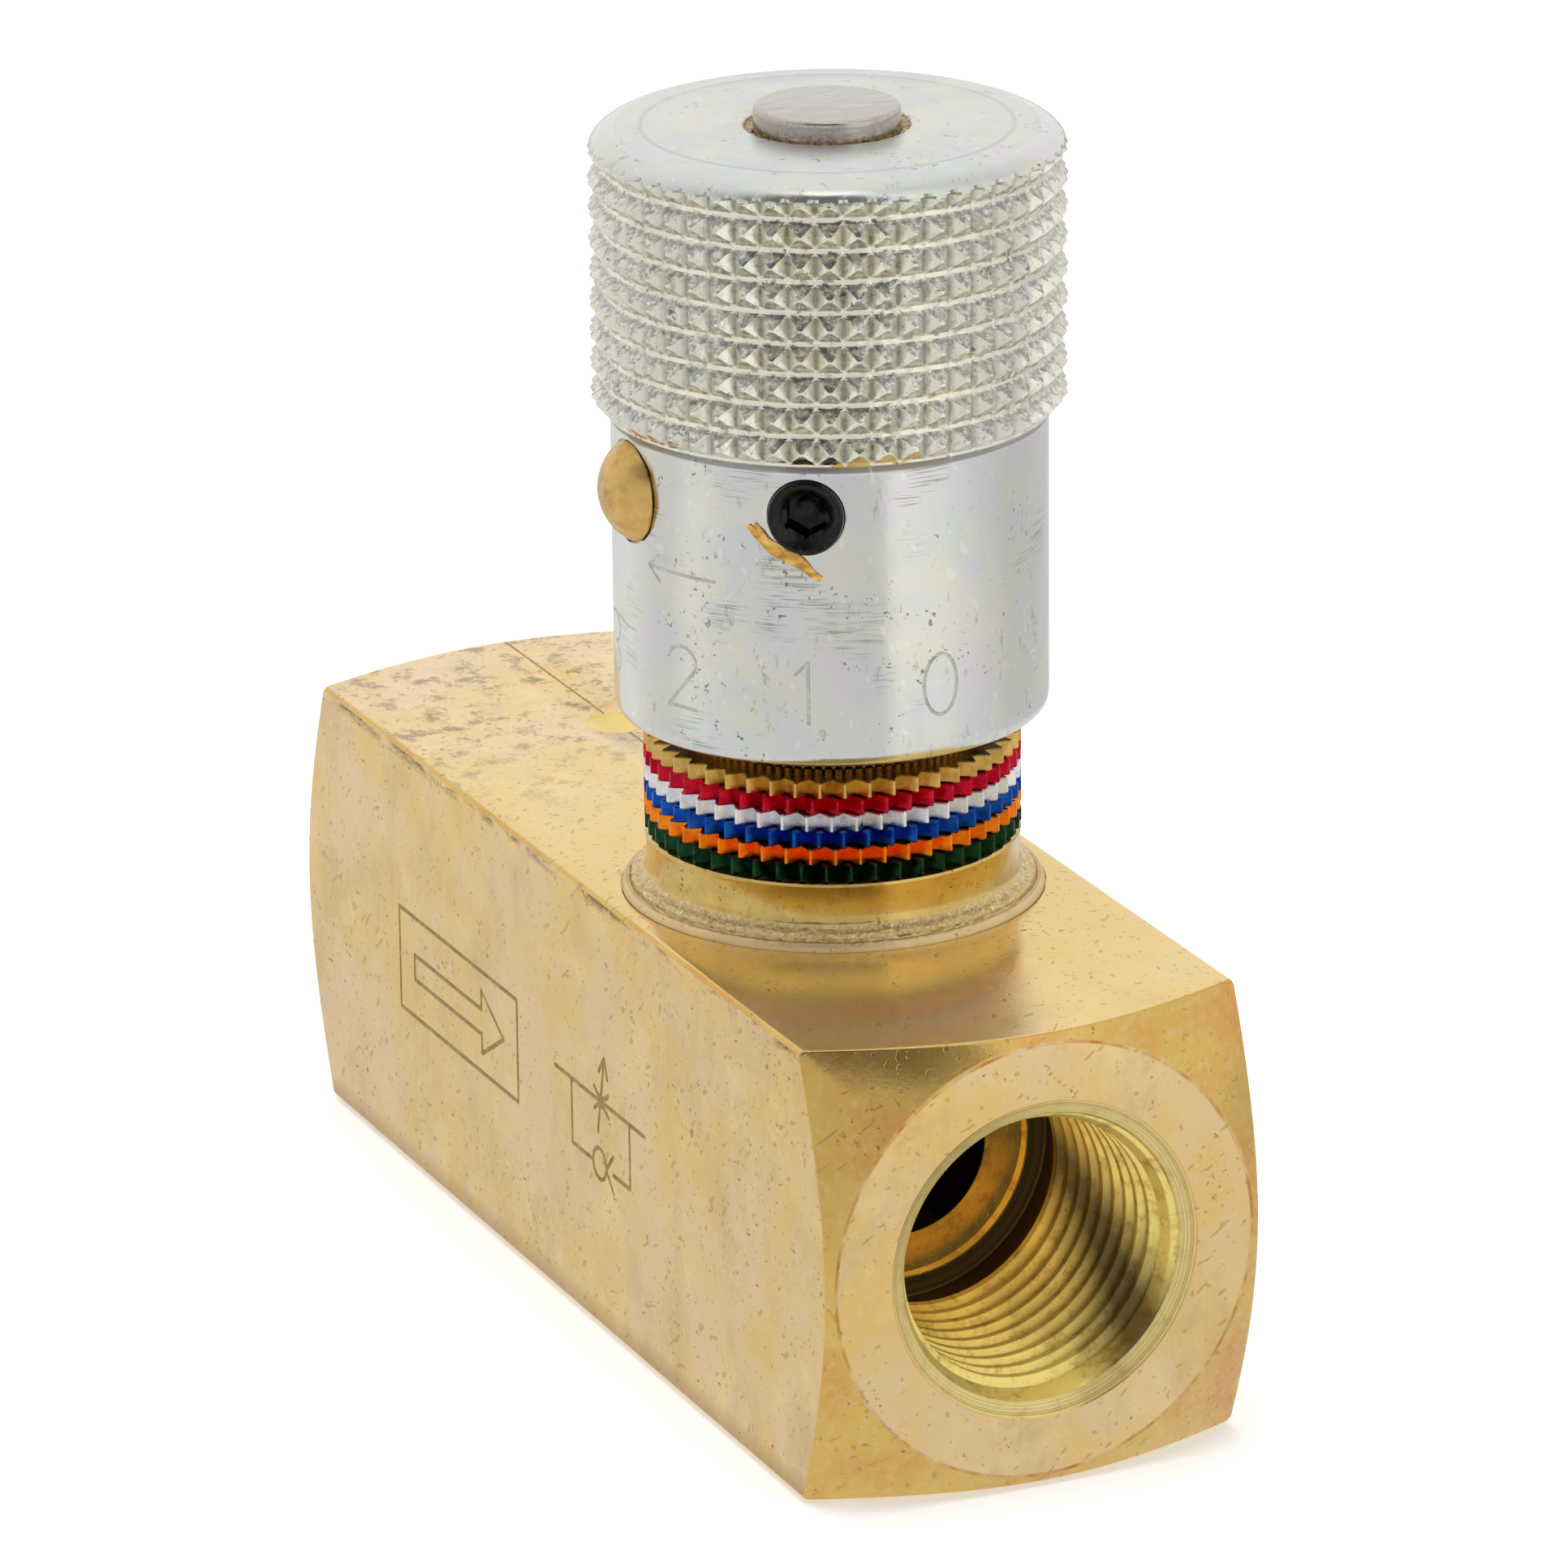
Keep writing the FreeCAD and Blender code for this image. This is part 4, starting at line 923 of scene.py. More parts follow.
def return_spring(material):
    """The check valve's coil, with closed ends."""
    low, high = box_mm("check_spring")
    wire, turns = 0.4, 7
    mean = high[1] - wire
    count = turns * 32
    rows = []
    for step in range(count + 1):
        turned = turns * step / count
        open_share = np.clip((turned - 0.5) / (turns - 1), 0, 1)
        x = low[0] + wire + (high[0] - low[0] - 2 * wire) * open_share
        around = TURN * turned
        ring = []
        for a in even_angles(16):
            reach = mean + wire * math.cos(a)
            ring.append((x + wire * math.sin(a), reach * math.cos(around),
                         AXIS_Z + reach * math.sin(around)))
        rows.append(ring)
    made = piece("return_spring", skin(capped(rows)), "valve", "check_spring", [material],
                 40)
    lift = max(abs(limit) for limit in JOINT["check_lift"]["range_m"]) / MM
    AXIS_Z * MM
    1 - lift / (high[0] - low[0])
    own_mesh(made)


# Materials


class Value:
    """A node's output, which takes plain sums, products and comparisons."""

    # A numpy number on the left of a sum leaves the sum to this class.
    __array_ufunc__ = None

    def __init__(self, nodes, socket):
        self.nodes = nodes
        self.socket = socket

    def __add__(self, other):
        return self.nodes.math("ADD", self, other)

    def __sub__(self, other):
        return self.nodes.math("SUBTRACT", self, other)

    def __rsub__(self, other):
        return self.nodes.math("SUBTRACT", other, self)

    def __mul__(self, other):
        return self.nodes.math("MULTIPLY", self, other)

    def __truediv__(self, other):
        return self.nodes.math("DIVIDE", self, other)

    def __lt__(self, other):
        return self.nodes.math("LESS_THAN", self, other)

    def __gt__(self, other):
        return self.nodes.math("GREATER_THAN", self, other)

    def size(self):
        return self.nodes.math("ABSOLUTE", self)

    def clamped(self):
        return self.nodes.math("ADD", self, 0.0, clamp=True)


class Nodes:
    """Short calls for the nodes of one tree. place is a point's own coordinates."""

    def __init__(self, tree, place):
        self.tree = tree
        self.place = self.node("TexCoord", place)

    def put(self, socket, value):
        if isinstance(value, Value):
            self.tree.links.new(value.socket, socket)
        elif isinstance(value, tuple) and len(value) == 3 and socket.type == "RGBA":
            socket.default_value = (*value, 1)
        else:
            socket.default_value = value

    def node(self, kind, out=0, **inputs):
        made = self.tree.nodes.new("ShaderNode" + kind)
        for key, value in inputs.items():
            self.put(made.inputs[key.replace("_", " ")], value)
        return Value(self, made.outputs[out])

    def math(self, operation, a, b=0.0, clamp=False):
        made = self.tree.nodes.new("ShaderNodeMath")
        made.operation = operation
        made.use_clamp = clamp
        self.put(made.inputs[0], a)
        self.put(made.inputs[1], b)
        return Value(self, made.outputs[0])

    def parts(self, vector):
        made = self.tree.nodes.new("ShaderNodeSeparateXYZ")
        self.put(made.inputs[0], vector)
        return [Value(self, out) for out in made.outputs]

    def ramp(self, value, *stops):
        """Straight steps from one level or colour to another, as (place, level) pairs."""
        made = self.tree.nodes.new("ShaderNodeValToRGB")
        self.put(made.inputs[0], value)
        elements = made.color_ramp.elements
        while len(elements) < len(stops):
            elements.new(0.5)
        for element, (where, level) in zip(elements, stops):
            element.position = where
            colour = level if isinstance(level, tuple) else (level,) * 3
            element.color = (*colour, 1)
        return Value(self, made.outputs[0])

    def mix(self, share, a, b):
        made = self.tree.nodes.new("ShaderNodeMix")
        made.data_type = "RGBA"
        for index, value in ((0, share), (6, a), (7, b)):
            self.put(made.inputs[index], value)
        return Value(self, made.outputs[2])

    def level(self, value, low, high):
        """Zero at low and one at high, straight between. low may be the greater."""
        return self.math("DIVIDE", value - low, high - low, clamp=True)

    def between(self, value, low, high, rise=0.02):
        """One where the value lies between two numbers, with soft edges."""
        return self.level(value, low, low + rise) * self.level(value, high, high - rise)

    def reach(self, a, b):
        """Distance from an axis, given the two coordinates across it."""
        return self.math("SQRT", a * a + b * b)


class Look(Nodes):
    """A principled material, with noise and bumps that are sized in millimetres."""

    def __init__(self, name, metallic=1.0, roughness=0.3):
        self.material = bpy.data.materials.new(name)
        self.material.use_nodes = True
        self.material.node_tree.nodes.clear()
        super().__init__(self.material.node_tree, "Object")
        self.output = self.tree.nodes.new("ShaderNodeOutputMaterial")
        self.shader = self.tree.nodes.new("ShaderNodeBsdfPrincipled")
        self.tree.links.new(self.shader.outputs[0], self.output.inputs[0])
        self.set(Metallic=metallic, Roughness=roughness)
        self.bumps = None

    def set(self, **inputs):
        for key, value in inputs.items():
            self.put(self.shader.inputs[key.replace("_", " ")], value)

    def split(self):
        return [part / MM for part in self.parts(self.place)]

    def facing(self):
        """The way the surface faces: three parts, from minus one to one."""
        return self.parts(self.node("TexCoord", "Normal"))

    def noise(self, size, detail=3.0, roughness=0.55, stretch=(1, 1, 1), seed=0.0):
        where = self.node("Mapping", Vector=self.place, Location=(seed, seed * 0.7, seed * 1.3),
                          Scale=tuple(s / size / MM for s in stretch))
        return self.node("TexNoise", Vector=where, Scale=1.0, Detail=detail, Roughness=roughness)

    def patches(self, low, high, *noise, most=1.0, **more):
        """Patches of noise: none below the low level, and the most past the high one."""
        return self.ramp(self.noise(*noise, **more), (low, 0.0), (high, most))

    def uneven(self, low, high, *noise, **more):
        """A level that drifts between two others."""
        return self.ramp(self.noise(*noise, **more), (0.3, low), (0.7, high))

    def scratches(self, size, seed, tilt=0.0):
        """Thin straight marks, some about four sizes long, that lean by a tilt."""
        where = self.node("Mapping", Vector=self.place, Location=(seed * MM,) * 3,
                          Rotation=(tilt, tilt * 0.7, tilt * 1.3))
        fine = self.node("Mapping", Vector=where, Scale=tuple(
            s / size / MM for s in (0.2, 14.0, 14.0)))
        lines = self.node("TexNoise", Vector=fine, Scale=1.0, Detail=0.0)
        return self.ramp(lines, (0.765, 0.0), (0.79, 1.0))

    def specks(self, size, seed, amount=0.5):
        """Small uneven spots, gathered in patches."""
        gathered = self.patches(1 - amount, 1.08 - amount, size * 9, 3, 0.7, seed=seed + 1)
        return self.patches(0.62, 0.68, size, 2, 0.6, seed=seed) * gathered

    def rings(self, value, size):
        """Turning marks: noise that only changes along one measure."""
        line = self.node("CombineXYZ", X=value / size)
        return self.node("TexNoise", Vector=line, Scale=1.0, Detail=3.0, Roughness=0.7)

    def bump(self, height, distance, strength=1.0):
        """Add a height, in millimetres at full white."""
        below = {} if self.bumps is None else {"Normal": self.bumps}
        self.bumps = self.node(
            "Bump", Strength=strength, Distance=distance * MM, Height=height, **below)

    def finish(self, colour, roughness):
        self.set(Base_Color=colour, Roughness=roughness)
        if self.bumps is not None:
            self.set(Normal=self.bumps)
        return self.material


def tone(red, green, blue):
    """A colour as read off a screen, 0 to 255, in the light's own scale."""
    return tuple(
        c / 255 / 12.92 if c <= 10 else ((c / 255 + 0.055) / 1.055) ** 2.4
        for c in (red, green, blue))


def patina(look, flats):
    """Tan on the flats and yellow on the cones, both in clouds."""
    blotch = look.patches(0.42, 0.58, 9.0, 5, 0.66)
    tan = look.mix(blotch, tone(231, 196, 122), tone(230, 200, 152))
    cloud = look.patches(0.5, 0.68, 4.0, 5, 0.72, most=0.6, stretch=(1, 1, 0.6), seed=4)
    tan = look.mix(cloud, tan, tone(208, 176, 122))
    pale = look.patches(0.55, 0.68, 5.0, 4, 0.7, most=0.6, seed=31)
    tan = look.mix(pale, tan, tone(242, 214, 152))
    ruddy = look.patches(0.45, 0.7, 5.0, 4, 0.6, seed=9)
    yellow = look.mix(ruddy, tone(220, 184, 100), tone(214, 158, 88))
    return look.mix(flats, yellow, tan)


def brass_marks(look, colour, flats, pits, lines):
    """Rubbing, and the small dents and scratches that dirt has filled."""
    rub = look.patches(0.5, 0.8, 0.5, 4, 0.7, most=0.6, stretch=(0.12, 1, 1), seed=2)
    colour = look.mix(rub, colour, tone(226, 204, 160))
    dashes = look.patches(0.71, 0.76, 0.3, 2, 0.5, most=0.7, stretch=(0.35, 1, 1), seed=7)
    colour = look.mix(dashes * flats, colour, tone(112, 84, 40))
    colour = look.mix(pits * 0.65, colour, tone(112, 84, 44))
    return look.mix(lines * 0.5, colour, tone(176, 140, 84))


def brass_edges(look, colour, sides, top, ends, from_axis):
    """Dark worn upper edges, sides darker towards the bottom, the smeared far end, the bright dimple and the rims
    of the faces.
    """
    x, y, z = look.split()
    upper_edge = sides * look.level(z, BAR_TOP - 0.9, BAR_TOP - 0.25)
    worn = look.patches(0.45, 0.58, 0.9, 4, 0.75, most=0.85, stretch=(0.25, 1, 1), seed=11)
    colour = look.mix(upper_edge * worn, colour, tone(98, 70, 34))
    lower_edge = sides * look.level(z, 1.6, 0.2)
    colour = look.mix(lower_edge * 0.55, colour, tone(150, 108, 52))
    smear = look.patches(0.52, 0.62, 1.6, 5, 0.75, most=0.7, seed=13)
    far_smear = top * look.level(x, -14.0, -32.0) * smear
    colour = look.mix(far_smear, colour, tone(120, 94, 50))
    in_dimple = look.reach(x - DIMPLE_X, y) < DIMPLE_RADIUS + 0.1
    dimple = in_dimple * (z < BAR_TOP - 0.04) * (z > BAR_TOP - 1.5)
    colour = look.mix(dimple, colour, tone(236, 208, 128))
    rim = ends * look.between(from_axis, FACE_RADIUS - 0.22, FACE_RADIUS + 0.1, 0.08)
    return look.mix(rim * look.level(look.noise(1.5, 3), 0.35, 0.7), colour, tone(186, 126, 56))


def painted_dark_reflection(look, y, z, depth):
    """A painted dark reflection: the band of a port's wall that would mirror nothing bright. It leans as it goes
    deeper.
    """
    around = look.math("ARCTAN2", z - AXIS_Z, y)
    middle = look.level(depth, 1.0, 15.0) * 0.75 - 0.72
    wavy = (around - middle).size() + look.noise(1.5, 3) * 0.12
    return look.ramp(wavy, (0.16, 1.0), (0.62, 0.0))


def port_colour(look, y, z, depth, from_axis, bore):
    """Green-gold threads with a turned shoulder beyond, and painted shade: a deeper gold further in, dark roots, a
    dark brown undercut and a near-black bore, with a painted dark reflection across the threads.
    """
    # Painted shade: the wall turns a deeper, darker gold further into the port.
    wall = look.mix(look.level(depth, 1.5, 16.0), tone(238, 218, 128), tone(246, 200, 78))
    stain = look.patches(0.5, 0.68, 1.2, 4, 0.7, most=0.7, seed=17)
    wall = look.mix(stain, wall, tone(168, 124, 52))
    # Painted shade in the roots of the thread, fading out at the lead-in.
    root = look.level(from_axis, CREST + 0.7, CREST + 0.84) * 0.65
    lead_in = look.level(depth, CREST_START + 1.0, CREST_START - 0.5)
    wall = look.mix(root * (1.0 - lead_in), wall, tone(70, 52, 22))
    threads = (depth < CREST_END) * (depth > COUNTERSINK)
    # Painted reflection: a dark band across the threads, where they mirror nothing bright.
    band = painted_dark_reflection(look, y, z, depth)
    wall = look.mix(band * threads * 0.88, wall, tone(62, 42, 12))
    # Painted shade: the undercut darkened to dark brown, and the bore beyond it to near black.
    undercut = (depth > CREST_END - 0.05) * (from_axis > FLOOR_RADIUS + 0.1)
    wall = look.mix(undercut, wall, tone(52, 30, 10))
    wall = look.mix(bore, wall, tone(30, 20, 8))
    turned = look.ramp(look.rings(from_axis, 0.12), (0.35, 0.0), (0.65, 0.6))
    return look.mix(turned * (depth > UNDERCUT_END - 0.1), wall, tone(186, 152, 84))


def brass_look():
    """Patinated on its flats, polished on its cones, and green-gold down in its ports, where shade, a dark
    reflection and a faint glow are painted in.
    """
    look = Look("patinated_brass")
    x, y, z = look.split()
    face_x, face_y, face_z = (part.size() for part in look.facing())
    from_axis = look.reach(y, z - AXIS_Z)
    depth = (X_NEAR - X_FAR) / 2 - (x - BAR_MIDDLE).size()
    sides = look.between(face_y, 0.9, 1.5)
    top = look.between(face_z, 0.9, 1.5)
    ends = look.between(face_x, 0.95, 1.5)
    flats = (sides + top + ends).clamped()
    in_mouth = from_axis < MOUTH + 0.1
    in_port = in_mouth * (depth > 0.06)
    bore = (depth > PORT_FLOOR + 0.05) * (from_axis < FLOOR_RADIUS + 0.1)
    pits = look.specks(0.4, 5.0, 0.44)
    lines = (look.scratches(6.0, 1.0, 0.5) + look.scratches(4.0, 6.0, -0.9)).clamped()

    colour = patina(look, flats)
    # Gold on the top round the neck: polished brass, and a painted reflection of the neck.
    neck_polish_and_reflection = top * look.level(look.reach(x, y), 36.0, 16.0)
    colour = look.mix(neck_polish_and_reflection * 0.8, colour, tone(236, 202, 118))
    colour = brass_marks(look, colour, flats, pits, lines)
    colour = brass_edges(look, colour, sides, top, ends, from_axis)
    wall = port_colour(look, y, z, depth, from_axis, bore)
    colour = look.mix(in_port, colour, wall)
    sunk = in_mouth * (depth < COUNTERSINK + 0.02) * (depth > 0.04)
    colour = look.mix(sunk * 0.7, colour, tone(232, 212, 150))
    grooves = look.ramp(look.rings(from_axis, 0.1), (0.46, 0.0), (0.54, 0.8))
    colour = look.mix(sunk * grooves, colour, tone(142, 116, 66))

    look.bump(look.noise(0.3, 4, 0.6), 0.012, 0.5)
    look.bump(look.noise(6.0, 2), 0.05, 0.5)
    look.bump(1.0 - pits, 0.03, 0.6)
    look.bump(1.0 - lines, 0.01, 0.6)
    shoulder = in_port * (depth > UNDERCUT_END - 0.1)
    in_threads = in_port - shoulder
    look.set(Metallic=1.0 - top * 0.25 - in_threads * 0.3)
    # Painted light: the port's walls glow faintly in their own colour, for the light that gathers in a bore by
    # more bounces than a render follows.
    look.set(Emission_Color=wall, Emission_Strength=in_port * (1.0 - bore) * 0.11)
    look.material.cycles.emission_sampling = "NONE"
    dull = (flats - top + in_threads * 0.6).clamped()
    matte = look.uneven(0.3, 0.42, 2.5, 4, seed=21)
    shiny = look.uneven(0.16, 0.26, 3.0, 3, seed=23)
    return look.finish(colour, look.mix((dull - shoulder).clamped(), shiny, matte))


def engraved_look():
    """Dark dirt that fills the marks cut into the brass."""
    look = Look("engraved_dirt", 0.35)
    colour = look.mix(look.patches(0.35, 0.7, 0.3, 4, 0.7), tone(154, 124, 70), tone(196, 164, 104))
    bare = look.patches(0.6, 0.7, 1.1, 3, 0.7, most=0.7, seed=3)
    colour = look.mix(bare, colour, tone(214, 184, 126))
    look.bump(look.noise(0.15, 3), 0.02, 0.6)
    return look.finish(colour, look.uneven(0.4, 0.65, 0.6, 3))


def bonnet_look():
    """Polished above, with a rough pale bead, and patinated where it meets the bar. Painted shade darkens a line
    at the flange's edge and everything under the knob.
    """
    look = Look("bonnet_brass")
    x, y, z = look.split()
    base = look.mix(look.patches(0.4, 0.65, 3.0, 4, 0.6), tone(214, 186, 112), tone(202, 168, 96))
    stain = look.patches(0.55, 0.7, 0.9, 5, 0.72, most=0.55, seed=5)
    base = look.mix(stain, base, tone(170, 122, 50))
    flange = look.level(z, 26.0, 25.86)
    base = look.mix(flange, base, look.mix(
        look.noise(1.2, 4), tone(222, 194, 142), tone(232, 210, 164)))
    bead = look.between(z, 25.9, 26.62, 0.1)
    crust = look.patches(0.38, 0.62, 0.22, 4, 0.75, seed=8)
    base = look.mix(bead * 0.85, base, look.mix(crust, tone(214, 182, 122), tone(250, 234, 192)))
    # Painted shade: a darker line along the flange's outer edge.
    line = look.between(look.reach(x, y), 11.2, 11.36, 0.05)
    base = look.mix(line * flange * 0.4, base, tone(150, 124, 90))
    # Painted shade: everything above the gold ring, under the knob, darkened to brown.
    shade_under_knob = z > box_mm("scale_ring_gold")[1][2] - 0.02
    base = look.mix(shade_under_knob, base, look.mix(
        look.noise(0.7, 4), tone(120, 88, 34), tone(176, 136, 60)))
    base = look.mix(look.specks(0.25, 2.0, 0.5) * 0.7, base, tone(96, 68, 28))
    look.bump(crust * bead, 0.05, 0.7)
    look.bump(look.rings(z, 0.1), 0.004, 0.5)
    look.bump(look.noise(0.25, 3), 0.008, 0.4)
    return look.finish(base, flange * 0.34 + bead * 0.16 + look.uneven(0.1, 0.22, 1.4, 3, seed=6))


def knurl_colour(look, base, z, knurl):
    """Cream on the bands and lower facets. Elsewhere patches of grime and painted shade deeper in darken it, and
    the facets that face up get painted shade in mottled patches.
    """
    row = (z - KNURL_BOTTOM) / KNURL_PITCH
    valley = look.level(look.math("PINGPONG", row, 0.5), 0.18, 0.08)
    base = look.mix(knurl * valley * 0.5, base, tone(232, 229, 208))
    base = look.mix(knurl * 0.6, base, tone(246, 240, 218))
    x, y, _ = look.split()
    # Painted shade: darker deeper in between the teeth.
    deep = look.level(look.reach(x, y), TIP - 0.4, TIP - 0.64)
    dirty = look.patches(0.52, 0.68, 0.4, 4, 0.75, most=0.6, seed=9)
    # Real grime in patches, plus the painted shade of the deep parts; the bands are left clear.
    grime = ((dirty + deep * 0.6) * (1.0 - valley)).clamped()
    base = look.mix(knurl * grime, base, tone(164, 164, 154))
    # Painted shade on the facets that face up, broken into mottled patches.
    mottled = look.patches(0.38, 0.58, 0.35, 4, 0.75, most=0.8, seed=28)
    settled = knurl * look.level(look.facing()[2], 0.15, 0.55) * mottled
    return look.mix(settled, base, tone(126, 130, 134))


def hub_colour(look, base, reach, on_top, hub):
    """Crusted residue in the hub's mouth, with a thin halo round it."""
    spread = look.patches(0.5, 0.62, 0.5, 5, 0.8, most=0.6, seed=18)
    halo = on_top * look.level(reach, HUB_MOUTH + 0.9, HUB_MOUTH) * spread
    residue = look.mix(
        look.patches(0.4, 0.6, 0.22, 4, 0.8), tone(112, 88, 52), tone(212, 196, 158))
    return look.mix((hub + halo).clamped(), base, residue)


def zinc_look():
    """Clear-passivated zinc plate: satin grey with faint rainbow tints, pits and turning lines."""
    look = Look("zinc_plate")
    x, y, z = look.split()
    reach = look.reach(x, y)
    knurl = (z > KNURL_BOTTOM) * (z < CROWN_START + 0.1)
    on_top = z > KNOB_HIGH[2] - 0.2
    hub = (reach < HUB_MOUTH + 0.02) * (z > KNOB_HIGH[2] - 2.0)
    base = look.mix(look.patches(0.4, 0.6, 5.0, 3), tone(208, 212, 206), tone(220, 216, 208))
    tint = look.ramp(look.noise(3.2, 3, 0.6, seed=4), (0.35, (0.72, 0.66, 0.80)),
                     (0.5, (0.70, 0.74, 0.70)), (0.64, (0.80, 0.76, 0.58)))
    base = look.mix(0.38, base, tint)
    base = knurl_colour(look, base, z, knurl)
    turned = look.patches(0.52, 0.64, 0.1, 2, 0.6, stretch=(0.04, 0.04, 1), seed=3)
    broken = look.patches(0.53, 0.64, 4.6, 3, most=0.6, seed=12)
    base = look.mix(turned * broken * (z < KNURL_BOTTOM), base, tone(120, 120, 114))
    # Painted shade on the underside where the skirt rounds in to the knurl.
    shaded_underside = look.between(z, KNURL_BOTTOM - 0.5, KNURL_BOTTOM + 0.05, 0.1)
    base = look.mix(shaded_underside * 0.8, base, tone(150, 150, 144))
    pits = look.specks(0.34, 3.0, 0.46)
    base = look.mix(pits * 0.75, base, tone(92, 90, 80))
    smears = look.patches(0.6, 0.68, 1.3, 5, 0.8, most=0.55, stretch=(1, 1, 0.5), seed=15)
    base = look.mix(smears, base, tone(150, 146, 128))
    base = look.mix(look.scratches(6.0, 2.0, 0.8) * 0.35, base, tone(240, 240, 236))
    scored = on_top * look.between(reach, 9.8, 10.15, 0.08)
    base = look.mix(scored * 0.22, base, tone(140, 142, 136))
    base = hub_colour(look, base, reach, on_top, hub)
    look.bump(look.rings(z, 0.07), 0.003, 0.6)
    look.bump(look.noise(0.2, 4, 0.6), 0.008, 0.5)
    look.bump(look.noise(0.9, 3), 0.02, 0.4)
    look.bump(1.0 - pits, 0.03, 0.7)
    look.bump(knurl * look.noise(0.35, 4, 0.7, seed=25), 0.025, 0.8)
    look.set(Metallic=1.0 - hub * 0.9)
    satin = look.uneven(0.13, 0.22, 1.6, 3, seed=20) - knurl * 0.06
    flat = (z > KNOB_HIGH[2] - 0.1) * 0.14
    return look.finish(base, satin + flat + hub * 0.5 + shaded_underside * 0.35)


def stamped_look():
    """The bottoms of the stamped numerals, where grime has settled."""
    look = Look("stamped_grime", 0.8)
    colour = look.mix(
        look.patches(0.35, 0.7, 0.3, 4, 0.7), tone(190, 190, 182), tone(224, 224, 218))
    look.bump(look.noise(0.15, 3), 0.01, 0.5)
    return look.finish(colour, look.uneven(0.3, 0.5, 0.6, 3))


def steel_look():
    """Ground stainless steel, with lines down its side."""
    look = Look("stainless_steel")
    z = look.split()[2]
    lines = look.noise(0.12, 3, 0.6, stretch=(1, 0.06, 1))
    ground = look.ramp(lines, (0.35, 0.0), (0.7, 1.0))
    colour = look.mix(ground, tone(178, 170, 164), tone(206, 199, 192))
    colour = look.mix(look.specks(0.2, 4.0, 0.45) * 0.6, colour, tone(96, 84, 70))
    foot = look.level(z, KNOB_HIGH[2] + 0.45, KNOB_HIGH[2] - 0.3)
    dirt = look.patches(0.4, 0.6, 0.3, 4, 0.75, seed=3)
    colour = look.mix(foot * dirt, colour, tone(112, 88, 56))
    look.bump(lines, 0.0015, 0.5)
    return look.finish(colour, look.uneven(0.18, 0.27, 0.8, 3))


def anodised_look(name, deep, bright):
    """A dyed satin finish, paler where the teeth have rubbed."""
    look = Look(f"{name}_anodised")
    x, y, z = look.split()
    colour = look.mix(look.patches(0.35, 0.65, 0.9, 4, 0.65), deep, bright)
    outer = box_mm(f"scale_ring_{name}")[1][0]
    rubbed = look.patches(0.5, 0.7, 0.35, 3, 0.75, most=0.25, seed=2)
    tips = look.level(look.reach(x, y), outer - 0.12, outer - 0.03) * rubbed
    colour = look.mix(tips, colour, tuple(0.8 * c + 0.08 for c in bright))
    colour = look.mix(look.specks(0.22, 6.0, 0.45) * 0.6, colour, tuple(0.35 * c for c in deep))
    look.bump(look.noise(0.14, 4, 0.6), 0.012, 0.6)
    look.bump(look.rings(z, 0.08), 0.004, 0.5)
    return look.finish(colour, look.uneven(0.2, 0.34, 0.7, 3))


def oxide_look():
    """Glossy black, rubbed to brown on its edges."""
    look = Look("black_oxide", 0.5)
    rub = look.patches(0.52, 0.7, 0.3, 4, 0.7, most=0.7)
    colour = look.mix(rub, tone(12, 11, 12), tone(62, 48, 38))
    look.bump(look.noise(0.12, 3), 0.01, 0.5)
    return look.finish(colour, look.uneven(0.16, 0.32, 0.5, 3))


def gold_zinc_look():
    """Yellow-passivated steel, worn grey where it sticks out most."""
    look = Look("gold_zinc")
    y = look.split()[1]
    pin_front = box_mm("stop_pin")[0][1]
    worn = look.level(y, pin_front + 0.55, pin_front + 0.2)
    colour = look.mix(look.patches(0.4, 0.65, 0.9, 4), tone(222, 184, 114), tone(204, 162, 92))
    patch = look.patches(0.4, 0.6, 0.5, 4, 0.7, seed=3)
    colour = look.mix(worn * patch, colour, tone(150, 138, 116))
    look.bump(look.noise(0.15, 3), 0.01, 0.5)
    return look.finish(colour, look.uneven(0.26, 0.4, 0.5, 3))


def compound_look():
    """Dried set compound: amber, streaked and a little clear."""
    look = Look("thread_lock", 0.0)
    streak = look.noise(0.7, 3, 0.6, stretch=(0.6, 0.6, 1.5))
    colour = look.ramp(streak, (0.35, tone(176, 122, 22)), (0.5, tone(226, 168, 48)),
                       (0.66, tone(248, 208, 112)))
    look.bump(streak, 0.02, 0.7)
    look.set(Coat_Weight=0.5)
    return look.finish(colour, look.uneven(0.22, 0.45, 0.4, 3))


def inner_look(name, dark, bright, roughness, metallic):
    """A part inside the valve: mottled, with fine grain and a few marks."""
    look = Look(name, metallic)
    colour = look.mix(look.patches(0.35, 0.65, 1.2, 4, 0.65), dark, bright)
    lighter = tuple(min(1, c * 1.6 + 0.02) for c in bright)
    colour = look.mix(look.scratches(2.0, 1.0, 0.4) * 0.5, colour, lighter)
    look.bump(look.noise(0.4, 4), 0.01, 0.5)
    return look.finish(colour, look.uneven(*roughness, 0.8, 3, seed=2))


def dress(node, material):
    """Give a carried-over solid of the frame its own material."""
    kept = frame["nodes"][node]
    if not kept.data.materials:
        kept.data.materials.append(None)
    for slot in kept.material_slots:
        slot.material = material


# Colours of the rings, from deep to bright, and of the parts inside

